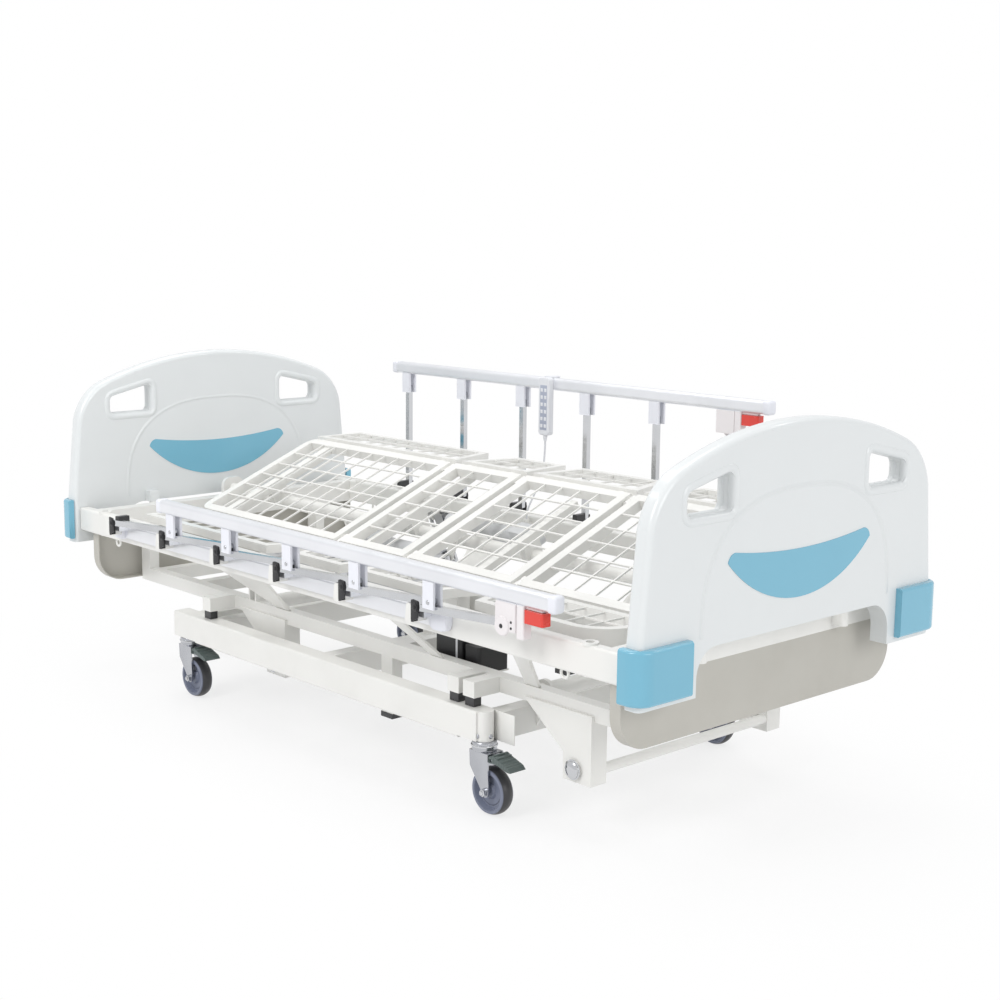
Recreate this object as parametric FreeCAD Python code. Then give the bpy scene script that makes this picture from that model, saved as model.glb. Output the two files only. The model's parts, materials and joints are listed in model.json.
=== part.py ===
import FreeCAD, Part

import math
import os

from FreeCAD import Vector

# Electric care bed with a side-turning deck, millimetres.
# X runs along the bed with the foot end at +X, Y across it with the near side at -Y, Z up.
# Rest position: bed at its lowest, deck turned towards the near side, near side rail folded
# towards the foot end, far side rail raised.

# Clearances
running_fit = 0.08
side_gap = 0.3
deck_clear = 0.5
pad_clear = 0.5

# Walls of the square tubes, and their drain holes
beam_wall = 2.5
drain_r = 3.5
drain_inset = 30.0

# End boards
board_outer_x = 1073.0
board_thick = 42.0
board_half_width = 468.0
board_shoulder_low = (446.0, 691.0)
board_shoulder_mid = (414.0, 757.0)
board_shoulder_top = (353.0, 799.0)
board_crown_z = 866.0
board_widest_z = 470.0
board_leg_bottom = 357.0
board_arch_z = 450.0
board_arch_half = 310.0
board_arch_radius = 58.0
board_rim_round = 12.0
handle_inner_y = 216.0
handle_outer_y = 350.0
handle_bottom_z = 702.0
handle_top_inner_z = 787.0
handle_top_outer_z = 752.0
handle_corner_r = 18.0
smile_half = 228.0
smile_tip_z = 604.0
smile_top_inset = 21.0
smile_top_z = 623.0
smile_dip_z = 607.0
smile_bottom_z = 508.0
smile_recess = 3.0
smile_proud = 1.2
bumper_inner_y = 337.0
bumper_wall = 16.0
bumper_bottom_z = 368.0
bumper_top_z = 475.0
bumper_corner_r = 38.0
bumper_round = 7.0
peg_r = 8.0
peg_y = 230.0
peg_length = 45.0
socket_wall = 4.0
socket_length = 50.0
peg_block_height = 30.0
peg_block_width = 30.0

# Upper frame
beam_outer_y = 451.0
beam_width = 30.0
beam_top_z = 453.0
beam_height = 63.0
beam_round = 6.0
beam_end_clear = 2.0
end_beam_x = 955.0
end_beam_width = 40.0
pole_socket_x = 917.0
pole_bore_r = 9.0
pole_rim_r = 17.0
pole_rim_height = 4.0
hook_ring_x = 850.0
hook_ring_r = 10.0
hook_ring_wire = 3.0
bearing_plate = 12.0
bearing_half_width = 34.0
bearing_over_shaft = 34.0

# Lower frame that hangs under the upper frame
chord_mid_y = 285.0
chord_width = 30.0
chord_bottom_z = 243.0
chord_height = 35.0
chord_end_x = 925.0
chord_cross_x = (-905.0, -700.0, 160.0, 905.0)
chord_cross_width = 30.0
strut_thick = 8.0
head_strut_top = (-367.0, -168.0)
head_strut_low = (-312.0, -268.0)
mid_strut_top = (300.0, 345.0)
mid_strut_low = (285.0, 325.0)
foot_strut_top = (700.0, 745.0)
foot_strut_low = (590.0, 630.0)
weld_sink = 4.0
drop_post_x = 130.0
drop_post_width = 40.0
drop_post_bottom_z = 108.0
drop_cap = 12.0
bracket_plate = 8.0
bracket_before = 34.0
bracket_after = 46.0
bracket_below_pin = 28.0
bracket_lap = 12.0
bracket_wall = 6.0
bracket_bolt_r = 18.0
gusset_reach = 120.0
gusset_over_pin = 30.0
tie_r = 11.0
tie_after_pin = 34.0
apron_side_inset = 19.0
apron_bottom_z = 250.0
apron_corner_r = 72.0
apron_skin = 3.0
apron_rim = 28.0
pad_x = (-520.0, 450.0, 500.0)
pad_length = 36.0
pad_reach_y = 374.0
pad_lap = 3.0
pad_inner_lap = 14.0

# Base frame and castors
base_beam_mid_y = 364.0
base_beam_width = 50.0
base_beam_bottom_z = 152.0
base_beam_height = 70.0
base_head_x = -655.0
base_drain_inset = 80.0
castor_head_x = -615.0
castor_foot_x = 541.0
castor_post_r = 20.0
castor_post_bottom_z = 157.0
castor_recess_half = 60.0
cross_beam_width = 40.0
cross_beam_height = 60.0
pivot_beam_x = -525.0
motor_beam_x = -60.0
wheel_r = 52.0
wheel_width = 32.0
wheel_trail = 27.0
axle_r = 6.0
fork_plate = 3.5
fork_gap = 3.0
fork_ring_r = 27.0
fork_ring_height = 22.0
fork_crown_z = 135.0
stem_r = 9.0
stem_length = 34.0
pedal_length = 62.0
pedal_width = 44.0
pedal_lug_half = 8.0
pedal_eye_half = 19.0
pedal_rise = 12.0
fork_back = 34.0
fork_front = 26.0
fork_boss_r = 11.0
hub_r = 14.0
dish_r = 18.0
dish_inset = 16.0
rim_inset = 12.0
tyre_round = 5.0
pedal_pivot_r = 4.0

# Lift arms
arm_pivot_z = 246.0
head_pivot_x = -485.0
foot_pivot_x = 583.0
arm_length = 205.0
arm_rest_deg = -33.0
arm_swing_deg = 80.0
arm_half_width = 17.0
arm_plate = 12.0
arm_tube_r = 19.0
arm_pin_r = 12.0
arm_open_clear = 1.0
lug_plate = 10.0
lug_offset_y = 232.0
lug_root = 50.0

# Deck, drawn level, then turned
shaft_z = 470.0
shaft_r = 15.0
deck_top_z = 548.0
turn_rest_deg = 22.5
panel_half_width = 206.0
panel_tube = 24.0
section_gap = 22.0
back_start_x = -789.0
seat_hinge_x = -169.0
thigh_hinge_x = 100.0
leg_hinge_x = 472.0
leg_end_x = 905.0
panel_corner_r = 34.0
back_inner_tube_x = -700.0
wire = 4.0
wire_pitch = 58.0
flap_gap = 16.0
flap_width = 156.0
flap_tube = 20.0
flap_wire_pitch = 52.0
flap_corner_r = 95.0
flap_band_height = 38.0
flap_band_thick = 5.0
flap_end_clear = 4.0
leg_follow = 1.8
barrel_r = 10.0
barrel_bore_r = 5.3
barrel_length = 18.0
barrel_inset = 20.0
pin_collar = 16.0
flap_barrel_r = 6.5
flap_pin_r = 3.0
flap_barrel_inset = 42.0
flap_barrel_length = 16.0
cradle_x = (-720.0, 300.0, 840.0)
cradle_bar = 20.0
cradle_half_width = 170.0
riser_half_width = 26.0
riser_x = (-110.0, 30.0)

# Linear drives
drive_tube_r = 20.0
drive_rod_r = 10.0
drive_motor_r = 24.0
drive_motor_length = 96.0
drive_eye_r = 15.0
drive_eye_width = 20.0
drive_pin_r = 7.0
yoke_plate = 6.0
yoke_gap = 16.0
yoke_wall = 7.0
heel_wall = 16.0
heel_length = 18.0
lever_pin_r = 5.0
lever_plate = 8.0
deck_drive_y = 70.0
lever_r = 80.0
back_swing_deg = 70.0
thigh_swing_deg = 40.0
back_drive_tail_x = 250.0
thigh_drive_tail_x = -270.0
turn_lever_r = 110.0
turn_lever_x = -420.0
lift_lever_r = 75.0
slot_spare = 2.5
neck_length = 34.0
gearbox_start = 24.0
gearbox_end = 78.0
tube_start = 70.0
bore_start = 80.0
lift_front_gap = 46.0
turn_front_gap = 44.0
deck_front_gap = 50.0
seat_bar_half = 10.0
seat_plate_half = 16.0
turn_web_half = 12.0
rod_overlap = 32.0

# Side rails
rail_y = 497.0
post_count = 6
first_post_x = -760.0
post_pitch = 248.0
post_length = 295.0
post_width = 15.0
post_thick = 14.0
post_fold_rise = 18.5
rail_pivot_z = 455.0
rail_pin_r = 5.0
pivot_bracket_root = 12.0
rail_bar_depth = 13.0
rail_bar_height = 36.0
rail_bar_overhang = 36.0
bracket_half_width = 11.0
bracket_over_pivot = 15.0
handrail_over_pivot = 42.0
handrail_height = 33.0
handrail_depth = 28.0
handrail_wall = 2.5
handrail_before = 60.0
handrail_after = 118.0
socket_half_width = 17.0
socket_cheek = 5.5
socket_below = 14.0
latch_before = 42.0
latch_after = 14.0
pillar_width = 20.0
pillar_length = 66.0
pillar_web = 14.0
pillar_web_height = 20.0
button_length = 52.0
button_height = 26.0
button_clear = 0.6
button_travel = 5.0
button_stem = 12.0
button_lip = 4.0

# Handset and its cord
handset_x = -150.0
handset_length = 157.0
handset_width = 40.0
handset_thick = 18.0
handset_top_z = 827.0
hook_thick = 4.0
cord_d = 5.0
relief_r = 5.0
gland_r = 8.0
gland_height = 24.0
gland_arm_height = 14.0
hook_half_width = 12.0
hook_drop = 18.0

# Control box
box_x = 250.0
box_y = -255.0
box_length = 150.0
box_depth = 90.0
box_height = 72.0
box_split = 10.0
box_joint_inset = 20.0


def box(x0, x1, y0, y1, z0, z1):
    """A block from its limits, given in any order."""
    low = Vector(min(x0, x1), min(y0, y1), min(z0, z1))
    high = Vector(max(x0, x1), max(y0, y1), max(z0, z1))
    return Part.makeBox(high.x - low.x, high.y - low.y, high.z - low.z, low)


def rod_x(radius, x0, x1, y, z):
    return Part.makeCylinder(radius, abs(x1 - x0), Vector(min(x0, x1), y, z), Vector(1, 0, 0))


def rod_y(radius, y0, y1, x, z):
    return Part.makeCylinder(radius, abs(y1 - y0), Vector(x, min(y0, y1), z), Vector(0, 1, 0))


def rod_z(radius, z0, z1, x, y):
    return Part.makeCylinder(radius, abs(z1 - z0), Vector(x, y, min(z0, z1)), Vector(0, 0, 1))


def fuse(shapes):
    """One solid, or one shape, from pieces that meet."""
    first = shapes[0]
    if len(shapes) == 1:
        return first
    return first.fuse(shapes[1:]).removeSplitter()


def across(shape):
    """The same shape on the other side of the bed."""
    return shape.mirror(Vector(0, 0, 0), Vector(0, 1, 0))


def endways(shape):
    """The same shape at the other end of the bed."""
    return shape.mirror(Vector(0, 0, 0), Vector(1, 0, 0))


def both_sides(shape):
    return [shape, across(shape)]


def moved(shape, x=0.0, y=0.0, z=0.0):
    copy = shape.copy()
    copy.translate(Vector(x, y, z))
    return copy


def turned(shape, degrees, axis, point):
    copy = shape.copy()
    copy.rotate(point, axis, degrees)
    return copy


def lying_bar(x0, x1, y0, y1, z0, z1, radius):
    """A tube along X with rounded long edges."""
    bar = box(x0, x1, y0, y1, z0, z1)
    edges = [e for e in bar.Edges if abs(e.tangentAt(0).x) > 0.9]
    return bar.makeFillet(radius, edges)


def bore_x(x0, x1, y0, y1, z0, z1, wall):
    """The space inside a tube along X, open at both of the given ends."""
    return box(x0, x1, min(y0, y1) + wall, max(y0, y1) - wall, z0 + wall, z1 - wall)


def bore_y(x0, x1, y0, y1, z0, z1, wall):
    """The space inside a tube across the bed, open at both of the given ends."""
    return box(x0 + wall, x1 - wall, y0, y1, z0 + wall, z1 - wall)


def drain(x, y, z, wall):
    """A drain hole through the lower wall of a tube."""
    return rod_z(drain_r, z - 1, z + wall + 1, x, y)


def upright(shape, radius):
    """Rounds the vertical edges of a block."""
    edges = [e for e in shape.Edges if abs(e.tangentAt(e.FirstParameter).z) > 0.9]
    return shape.makeFillet(radius, edges)


def plate_xz(points, y0, y1):
    """A flat plate with its outline in XZ and its thickness along Y."""
    corners = [Vector(x, min(y0, y1), z) for x, z in points]
    face = Part.Face(Part.makePolygon(corners + corners[:1]))
    return face.extrude(Vector(0, abs(y1 - y0), 0))


def link_xz(xa, za, xb, zb, half_width, y0, y1):
    """A link with round ends between two pivots, its thickness along Y."""
    length = math.hypot(xb - xa, zb - za)
    nx = -(zb - za) / length * half_width
    nz = (xb - xa) / length * half_width
    web = plate_xz([(xa + nx, za + nz), (xb + nx, zb + nz), (xb - nx, zb - nz), (xa - nx, za - nz)], y0, y1)
    return fuse([web, rod_y(half_width, y0, y1, xa, za), rod_y(half_width, y0, y1, xb, zb)])


def at_angle(x, z, radius, degrees):
    """The point at a radius and an angle about a pivot, in XZ."""
    a = math.radians(degrees)
    return x + radius * math.cos(a), z + radius * math.sin(a)


# End boards and their blue trim


def rounded_outline(corners, radius, x):
    """A closed outline in YZ with every corner rounded by a tangent arc."""
    edges = []
    count = len(corners)
    starts = []
    ends = []
    mids = []
    for i in range(count):
        here = Vector(x, corners[i][0], corners[i][1])
        before = Vector(x, corners[i - 1][0], corners[i - 1][1]) - here
        after = Vector(x, corners[(i + 1) % count][0], corners[(i + 1) % count][1]) - here
        before.normalize()
        after.normalize()
        half = before.getAngle(after) / 2
        reach = radius / math.tan(half)
        inward = before + after
        inward.normalize()
        starts.append(here + before * reach)
        ends.append(here + after * reach)
        mids.append(here + inward * (radius / math.sin(half) - radius))
    for i in range(count):
        edges.append(Part.Arc(starts[i], mids[i], ends[i]).toShape())
        edges.append(Part.makeLine(ends[i], starts[(i + 1) % count]))
    return Part.Wire(edges)


def handle_cut(x0, x1):
    corners = [
        (handle_inner_y, handle_bottom_z),
        (handle_outer_y, handle_bottom_z),
        (handle_outer_y, handle_top_outer_z),
        (handle_inner_y, handle_top_inner_z),
    ]
    outline = rounded_outline(corners, handle_corner_r, x0)
    return Part.Face(outline).extrude(Vector(x1 - x0, 0, 0))


def board_blank(x0, thick):
    """The moulded board's outline: crown arc, two shoulders, two legs and the arch between."""

    def p(point):
        return Vector(x0, point[0], point[1])

    def left(point):
        return Vector(x0, -point[0], point[1])

    crown = Vector(x0, 0, board_crown_z)
    widest = (board_half_width, board_widest_z)
    leg_outer = (board_half_width, board_leg_bottom)
    leg_inner = (board_arch_half, board_leg_bottom)
    arch_low = (board_arch_half, board_arch_z - board_arch_radius)
    arch_top = (board_arch_half - board_arch_radius, board_arch_z)
    slack = board_arch_radius * (1 - math.sqrt(0.5))
    arch_mid = (board_arch_half - slack, board_arch_z - slack)
    edges = [
        Part.Arc(left(board_shoulder_top), crown, p(board_shoulder_top)).toShape(),
        Part.Arc(p(board_shoulder_top), p(board_shoulder_mid), p(board_shoulder_low)).toShape(),
        Part.makeLine(p(board_shoulder_low), p(widest)),
        Part.makeLine(p(widest), p(leg_outer)),
        Part.makeLine(p(leg_outer), p(leg_inner)),
        Part.makeLine(p(leg_inner), p(arch_low)),
        Part.Arc(p(arch_low), p(arch_mid), p(arch_top)).toShape(),
        Part.makeLine(p(arch_top), left(arch_top)),
        Part.Arc(left(arch_top), left(arch_mid), left(arch_low)).toShape(),
        Part.makeLine(left(arch_low), left(leg_inner)),
        Part.makeLine(left(leg_inner), left(leg_outer)),
        Part.makeLine(left(leg_outer), left(widest)),
        Part.makeLine(left(widest), left(board_shoulder_low)),
        Part.Arc(left(board_shoulder_low), left(board_shoulder_mid), left(board_shoulder_top)).toShape(),
    ]
    return Part.Face(Part.Wire(edges)).extrude(Vector(thick, 0, 0))


def smile(x0, thick):
    """The crescent inlay, from its four arcs."""
    tip = Vector(x0, smile_half, smile_tip_z)
    top = Vector(x0, smile_half - smile_top_inset, smile_top_z)
    slack = smile_top_inset * 0.3
    knee = Vector(x0, smile_half - slack, smile_top_z - slack)
    tip_l = Vector(x0, -smile_half, smile_tip_z)
    top_l = Vector(x0, -top.y, smile_top_z)
    knee_l = Vector(x0, -knee.y, knee.z)
    edges = [
        Part.Arc(top_l, Vector(x0, 0, smile_dip_z), top).toShape(),
        Part.Arc(top, knee, tip).toShape(),
        Part.Arc(tip, Vector(x0, 0, smile_bottom_z), tip_l).toShape(),
        Part.Arc(tip_l, knee_l, top_l).toShape(),
    ]
    return Part.Face(Part.Wire(edges)).extrude(Vector(thick, 0, 0))


def peg_centre_x():
    return board_outer_x - board_thick - peg_r - socket_wall - side_gap - 2 * beam_end_clear


def foot_board():
    inner_x = board_outer_x - board_thick
    blank = board_blank(inner_x, board_thick)
    rim = []
    for e in blank.Edges:
        flat = abs(e.BoundBox.XLength) < 0.01
        if flat and e.BoundBox.ZMin > board_widest_z - 1:
            rim.append(e)
    board = blank.makeFillet(board_rim_round, rim)
    hole = handle_cut(inner_x - 1, board_outer_x + 1)
    recess_out = smile(board_outer_x - smile_recess, smile_recess + 1)
    recess_in = smile(inner_x - 1, smile_recess + 1)
    board = board.cut([hole, across(hole), recess_out, recess_in])
    block = box(peg_centre_x() - peg_r, inner_x, peg_y - peg_block_width / 2, peg_y + peg_block_width / 2,
                board_arch_z, board_arch_z + peg_block_height)
    peg = rod_z(peg_r, board_arch_z - peg_length, board_arch_z + 1, peg_centre_x(), peg_y)
    return fuse([board] + both_sides(block) + both_sides(peg))


def bumper():
    """Blue corner guard that wraps one leg of the board."""
    outer = box(board_outer_x - board_thick + 1, board_outer_x + bumper_wall,
                bumper_inner_y, board_half_width + bumper_wall, bumper_bottom_z, bumper_top_z)
    corner = []
    for e in outer.Edges:
        tall = e.BoundBox.ZLength > 1
        if tall and e.BoundBox.XMin > board_outer_x and e.BoundBox.YMin > board_half_width:
            corner.append(e)
    outer = outer.makeFillet(bumper_corner_r, corner)
    rims = []
    for e in outer.Edges:
        flat = e.BoundBox.ZLength < 0.01
        away = e.BoundBox.XMax > board_outer_x or e.BoundBox.YMax > board_half_width + 1
        straight_back = e.BoundBox.XMax < board_outer_x - board_thick + 2
        if flat and away and not straight_back and e.BoundBox.YMin > bumper_inner_y - 1:
            if not (e.BoundBox.YLength < 0.01 and e.BoundBox.YMin < board_half_width):
                rims.append(e)
    outer = outer.makeFillet(bumper_round, rims)
    leg = box(board_outer_x - board_thick - 1, board_outer_x, 0, board_half_width,
              board_leg_bottom, bumper_top_z + 1)
    return outer.cut(leg)


def foot_trim():
    inner_x = board_outer_x - board_thick
    outside = smile(board_outer_x - smile_recess, smile_recess + smile_proud)
    inside = smile(inner_x - smile_proud, smile_recess + smile_proud)
    return Part.makeCompound(both_sides(bumper()) + [outside, inside])


# Upper frame


def beam_bottom_z():
    return beam_top_z - beam_height


def pole_sockets():
    """Bores for an infusion pole, at the four corners of the frame."""
    rims = []
    bores = []
    y = beam_outer_y - beam_width / 2
    for x in (-pole_socket_x, pole_socket_x):
        for side in (-y, y):
            rims.append(rod_z(pole_rim_r, beam_top_z - 2, beam_top_z + pole_rim_height, x, side))
            rims.append(rod_z(pole_bore_r + socket_wall, beam_bottom_z(), beam_top_z, x, side))
            bores.append(rod_z(pole_bore_r, beam_bottom_z() - 1, beam_top_z + pole_rim_height + 1, x, side))
    return rims, bores


def hook_rings():
    rings = []
    y = beam_outer_y - beam_width / 2
    for x in (-hook_ring_x, hook_ring_x):
        for side in (-y, y):
            centre = Vector(x, side, beam_bottom_z() - hook_ring_r + hook_ring_wire / 2)
            rings.append(Part.makeTorus(hook_ring_r, hook_ring_wire, centre, Vector(0, 1, 0)))
    return rings


def bearing():
    """Plate on the end beam that carries the turning shaft."""
    plate = box(end_beam_x, end_beam_x + bearing_plate, -bearing_half_width, bearing_half_width,
                beam_top_z - 3, shaft_z + bearing_over_shaft)
    edges = [e for e in plate.Edges if e.BoundBox.ZMin > shaft_z and e.BoundBox.YLength < 0.01
             and e.BoundBox.XLength > 1]
    plate = plate.makeFillet(bearing_half_width * 0.7, edges)
    return plate.cut(rod_x(shaft_r + running_fit, end_beam_x - 1, end_beam_x + bearing_plate + 1, 0, shaft_z))


def board_socket():
    """Tube that takes one peg of an end board."""
    x = peg_centre_x()
    outer_r = peg_r + running_fit + socket_wall
    tube = rod_z(outer_r, board_arch_z - socket_length, board_arch_z, x, peg_y)
    tie = box(end_beam_x + end_beam_width - 2, x, peg_y - outer_r, peg_y + outer_r,
              board_arch_z - socket_length, board_arch_z)
    bore = rod_z(peg_r + running_fit, board_arch_z - socket_length - 1, board_arch_z + 1, x, peg_y)
    return fuse([tube, tie]).cut(bore)


def cord_gland():
    """Bush on the far beam where the handset cord enters the frame."""
    inner_y = beam_outer_y - beam_width
    x, y, z = cord_route()[-1]
    low = z - gland_height
    post = rod_z(gland_r, low, z, x, y)
    arm = box(x - gland_r, x + gland_r, y, inner_y + 2, low, low + gland_arm_height)
    return fuse([post, arm])


def upper_frame():
    end_x = board_outer_x - board_thick - beam_end_clear
    inner_y = beam_outer_y - beam_width
    side = lying_bar(-end_x, end_x, -beam_outer_y, -inner_y, beam_bottom_z(), beam_top_z, beam_round)
    side_bore = bore_x(-end_x - 1, end_x + 1, -beam_outer_y, -inner_y, beam_bottom_z(), beam_top_z, beam_wall)
    far_x = end_beam_x + end_beam_width
    end = box(end_beam_x, far_x, -inner_y - 2, inner_y + 2, beam_bottom_z(), beam_top_z - 3)
    end_bore = bore_y(end_beam_x, far_x, -inner_y - 3, inner_y + 3, beam_bottom_z(), beam_top_z - 3,
                      beam_wall)
    tubes = fuse(both_sides(side) + [end, endways(end)])
    tubes = tubes.cut(both_sides(side_bore) + [end_bore, endways(end_bore)])
    mounts = fuse([bearing()] + both_sides(board_socket()))
    rims, bores = pole_sockets()
    return fuse([tubes, mounts, endways(mounts)] + rims + hook_rings() + [cord_gland()]).cut(bores)


# Lower frame: chords, slanting struts, lift brackets, drop posts and stops


def strut(top_x, low_x):
    """A flat strut from the side beam down and in to the chord, near side."""
    y_top = -(beam_outer_y - beam_width / 2)
    y_low = -(chord_mid_y + chord_width / 2 - strut_thick)
    z_top = beam_bottom_z()
    z_low = chord_bottom_z + chord_height - weld_sink
    corners = [
        Vector(top_x[0], y_top, z_top),
        Vector(top_x[1], y_top, z_top),
        Vector(low_x[1], y_low, z_low),
        Vector(low_x[0], y_low, z_low),
    ]
    face = Part.Face(Part.makePolygon(corners + corners[:1]))
    return face.extrude(Vector(0, strut_thick, 0))


def lift_pin_at(pivot_x):
    return at_angle(pivot_x, arm_pivot_z, arm_length, arm_rest_deg)


def lift_bracket(pivot_x):
    """Box bracket under the near chord with a gusset and the pin that the lift arm swings on."""
    pin_x, pin_z = lift_pin_at(pivot_x)
    outer_y = -(chord_mid_y + chord_width / 2)
    inner_y = -(chord_mid_y - chord_width / 2)
    x0 = pin_x - bracket_before
    x1 = pin_x + bracket_after
    foot_z = pin_z - bracket_below_pin
    top_z = chord_bottom_z + bracket_lap
    outline = [(x0 - gusset_reach, top_z), (x1, top_z), (x1, foot_z), (x0, foot_z),
               (x0, pin_z + gusset_over_pin)]
    near = plate_xz(outline, outer_y - bracket_plate, outer_y)
    far = plate_xz(outline, inner_y, inner_y + bracket_plate)
    face_y = outer_y - bracket_plate
    end = box(x1 - bracket_wall, x1, face_y, inner_y + bracket_plate, foot_z, chord_bottom_z + 1)
    reach_y = inner_y + bracket_plate + arm_plate + 6
    pin = rod_y(arm_pin_r, face_y - weld_sink, reach_y, pin_x, pin_z)
    head = rod_y(bracket_bolt_r, face_y - 1.5 * weld_sink, face_y, pin_x, pin_z)
    return fuse([near, far, end, pin, head])


def drop_post():
    y0 = -(chord_mid_y + chord_width / 2)
    y1 = -(chord_mid_y - chord_width / 2)
    half = drop_post_width / 2
    return box(drop_post_x - half, drop_post_x + half, y0, y1, drop_post_bottom_z, chord_bottom_z + 1)


def stop_arm(x):
    half = pad_length / 2
    return box(x - half, x + half, -pad_reach_y, -chord_mid_y, chord_bottom_z, chord_bottom_z + chord_height)


def end_leg():
    """Upright at each end of the chord that ties it to the end beam."""
    y0 = -(chord_mid_y + chord_width / 2)
    x1 = end_beam_x + end_beam_width - apron_rim - 1
    return box(chord_end_x, x1, y0, y0 + chord_width, chord_bottom_z, beam_bottom_z())


def turn_drive_seat():
    """Clevis on the near chord for the tail of the turning drive."""
    y = -chord_mid_y
    z = turn_drive_z()
    plates = []
    for side in (-1, 1):
        x = turn_lever_x + side * (drive_eye_width / 2 + side_gap)
        plates.append(box(x, x + side * yoke_plate, y - chord_width / 2, y + chord_width / 2,
                          chord_bottom_z + chord_height - 2, z + drive_eye_r))
    reach = drive_eye_width / 2 + yoke_plate + 3
    pin = rod_x(drive_pin_r, turn_lever_x - reach, turn_lever_x + reach, y, z)
    return fuse(plates + [pin])


def box_tray():
    """Flat bars that carry the control box between the chord and the middle cross tube."""
    y1 = box_y + box_depth
    return box(chord_cross_x[2], box_x + box_length, -chord_mid_y, y1, chord_bottom_z, chord_bottom_z + 4)


def lower_frame():
    y0 = -(chord_mid_y + chord_width / 2)
    y1 = -(chord_mid_y - chord_width / 2)
    top = chord_bottom_z + chord_height
    chord = box(-chord_end_x, chord_end_x, y0, y1, chord_bottom_z, top)
    chord = chord.cut([
        bore_x(-chord_end_x - 1, chord_end_x + 1, y0, y1, chord_bottom_z, top, beam_wall),
        drain(-chord_end_x + drain_inset, (y0 + y1) / 2, chord_bottom_z, beam_wall),
        drain(chord_end_x - drain_inset, (y0 + y1) / 2, chord_bottom_z, beam_wall),
    ])
    near = [
        chord,
        strut(head_strut_top, head_strut_low),
        strut(mid_strut_top, mid_strut_low),
        strut(foot_strut_top, foot_strut_low),
        lift_bracket(head_pivot_x),
        lift_bracket(foot_pivot_x),
        drop_post(),
        end_leg(),
        endways(end_leg()),
    ]
    near += [stop_arm(x) for x in pad_x]
    near = fuse(near)
    pieces = both_sides(near)
    half = chord_cross_width / 2
    for x in chord_cross_x:
        pieces.append(box(x - half, x + half, y1 - 1, -y1 + 1, chord_bottom_z, top))
    tie_x, tie_z = lift_pin_at(foot_pivot_x)
    inner_y = chord_mid_y - chord_width / 2 - bracket_plate
    pieces.append(rod_y(tie_r, -inner_y - 1, inner_y + 1, tie_x + tie_after_pin, tie_z))
    pieces.append(turn_drive_seat())
    pieces.append(box_tray())
    return Part.makeCompound([fuse(pieces)] + stop_pads())


def stop_pads():
    """Rubber stops over the base beams and the caps of the drop posts."""
    pads = []
    half = pad_length / 2 - 4
    base_top = base_beam_bottom_z + base_beam_height
    for x in pad_x:
        pads.append(box(x - half, x + half, -pad_reach_y + pad_lap, -base_beam_mid_y + pad_inner_lap,
                        base_top + pad_clear, chord_bottom_z))
    half = drop_post_width / 2 + 1
    pads.append(box(drop_post_x - half, drop_post_x + half, -(chord_mid_y + chord_width / 2) - 1,
                    -(chord_mid_y - chord_width / 2) + 1, drop_post_bottom_z - drop_cap, drop_post_bottom_z))
    return pads + [across(p) for p in pads]


def apron():
    """Foot end panel: a flat skin with a turned rim down both sides and along the bottom."""
    top = beam_bottom_z()

    def outline(inset, x):
        w = beam_outer_y - apron_side_inset - inset
        b = apron_bottom_z + inset
        r = apron_corner_r - inset
        slack = r * (1 - math.sqrt(0.5))
        pts = [
            Vector(x, -w, top),
            Vector(x, -w, b + r),
            Vector(x, -w + slack, b + slack),
            Vector(x, -w + r, b),
        ]
        mirrored = [Vector(x, -v.y, v.z) for v in pts]
        return Part.Wire([
            Part.makeLine(pts[0], pts[1]),
            Part.Arc(pts[1], pts[2], pts[3]).toShape(),
            Part.makeLine(pts[3], mirrored[3]),
            Part.Arc(mirrored[3], mirrored[2], mirrored[1]).toShape(),
            Part.makeLine(mirrored[1], mirrored[0]),
            Part.makeLine(mirrored[0], pts[0]),
        ])

    outer_x = end_beam_x + end_beam_width
    body = Part.Face(outline(0, outer_x)).extrude(Vector(-apron_rim, 0, 0))
    hollow = Part.Face(outline(apron_skin, outer_x - apron_skin)).extrude(Vector(-apron_rim, 0, 0))
    return body.cut(hollow)


def aprons():
    return Part.makeCompound([apron(), endways(apron())])


def control_box():
    """Two dark housings side by side on the tray."""
    z0 = chord_bottom_z + 4
    split = box_x + box_length * 0.6
    main = upright(box(box_x, split, box_y, box_y + box_depth, z0, z0 + box_height), 8)
    side = upright(box(split + box_split, box_x + box_length, box_y, box_y + box_depth, z0,
                       z0 + box_height * 0.85), 8)
    joint_end = box_y + box_depth - box_joint_inset
    joint = box(split - 1, split + box_split + 1, box_y + box_joint_inset, joint_end, z0, z0 + box_height / 2)
    return fuse([main, side, joint])


# Base frame


def castor_centres():
    return [(castor_head_x, -base_beam_mid_y), (castor_foot_x, -base_beam_mid_y),
            (castor_head_x, base_beam_mid_y), (castor_foot_x, base_beam_mid_y)]


def pivot_lug(pivot_x, beam_x):
    """Lug that carries the cross tube of one pair of lift arms, near side."""
    base = base_beam_bottom_z + 8
    half = cross_beam_width / 2
    outline = [(beam_x - half + 2, base), (beam_x + half - 2, base), (pivot_x + arm_tube_r, arm_pivot_z - 8),
               (pivot_x + arm_tube_r, arm_pivot_z), (pivot_x - arm_tube_r - 8, arm_pivot_z),
               (beam_x - half + 2, base + lug_root)]
    y0 = -lug_offset_y
    lug = plate_xz(outline, y0, y0 + lug_plate)
    eye = rod_y(arm_tube_r + 8, y0, y0 + lug_plate, pivot_x, arm_pivot_z)
    bore = rod_y(arm_tube_r + running_fit, y0 - 1, y0 + lug_plate + 1, pivot_x, arm_pivot_z)
    return fuse([lug, eye]).cut(bore)


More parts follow.
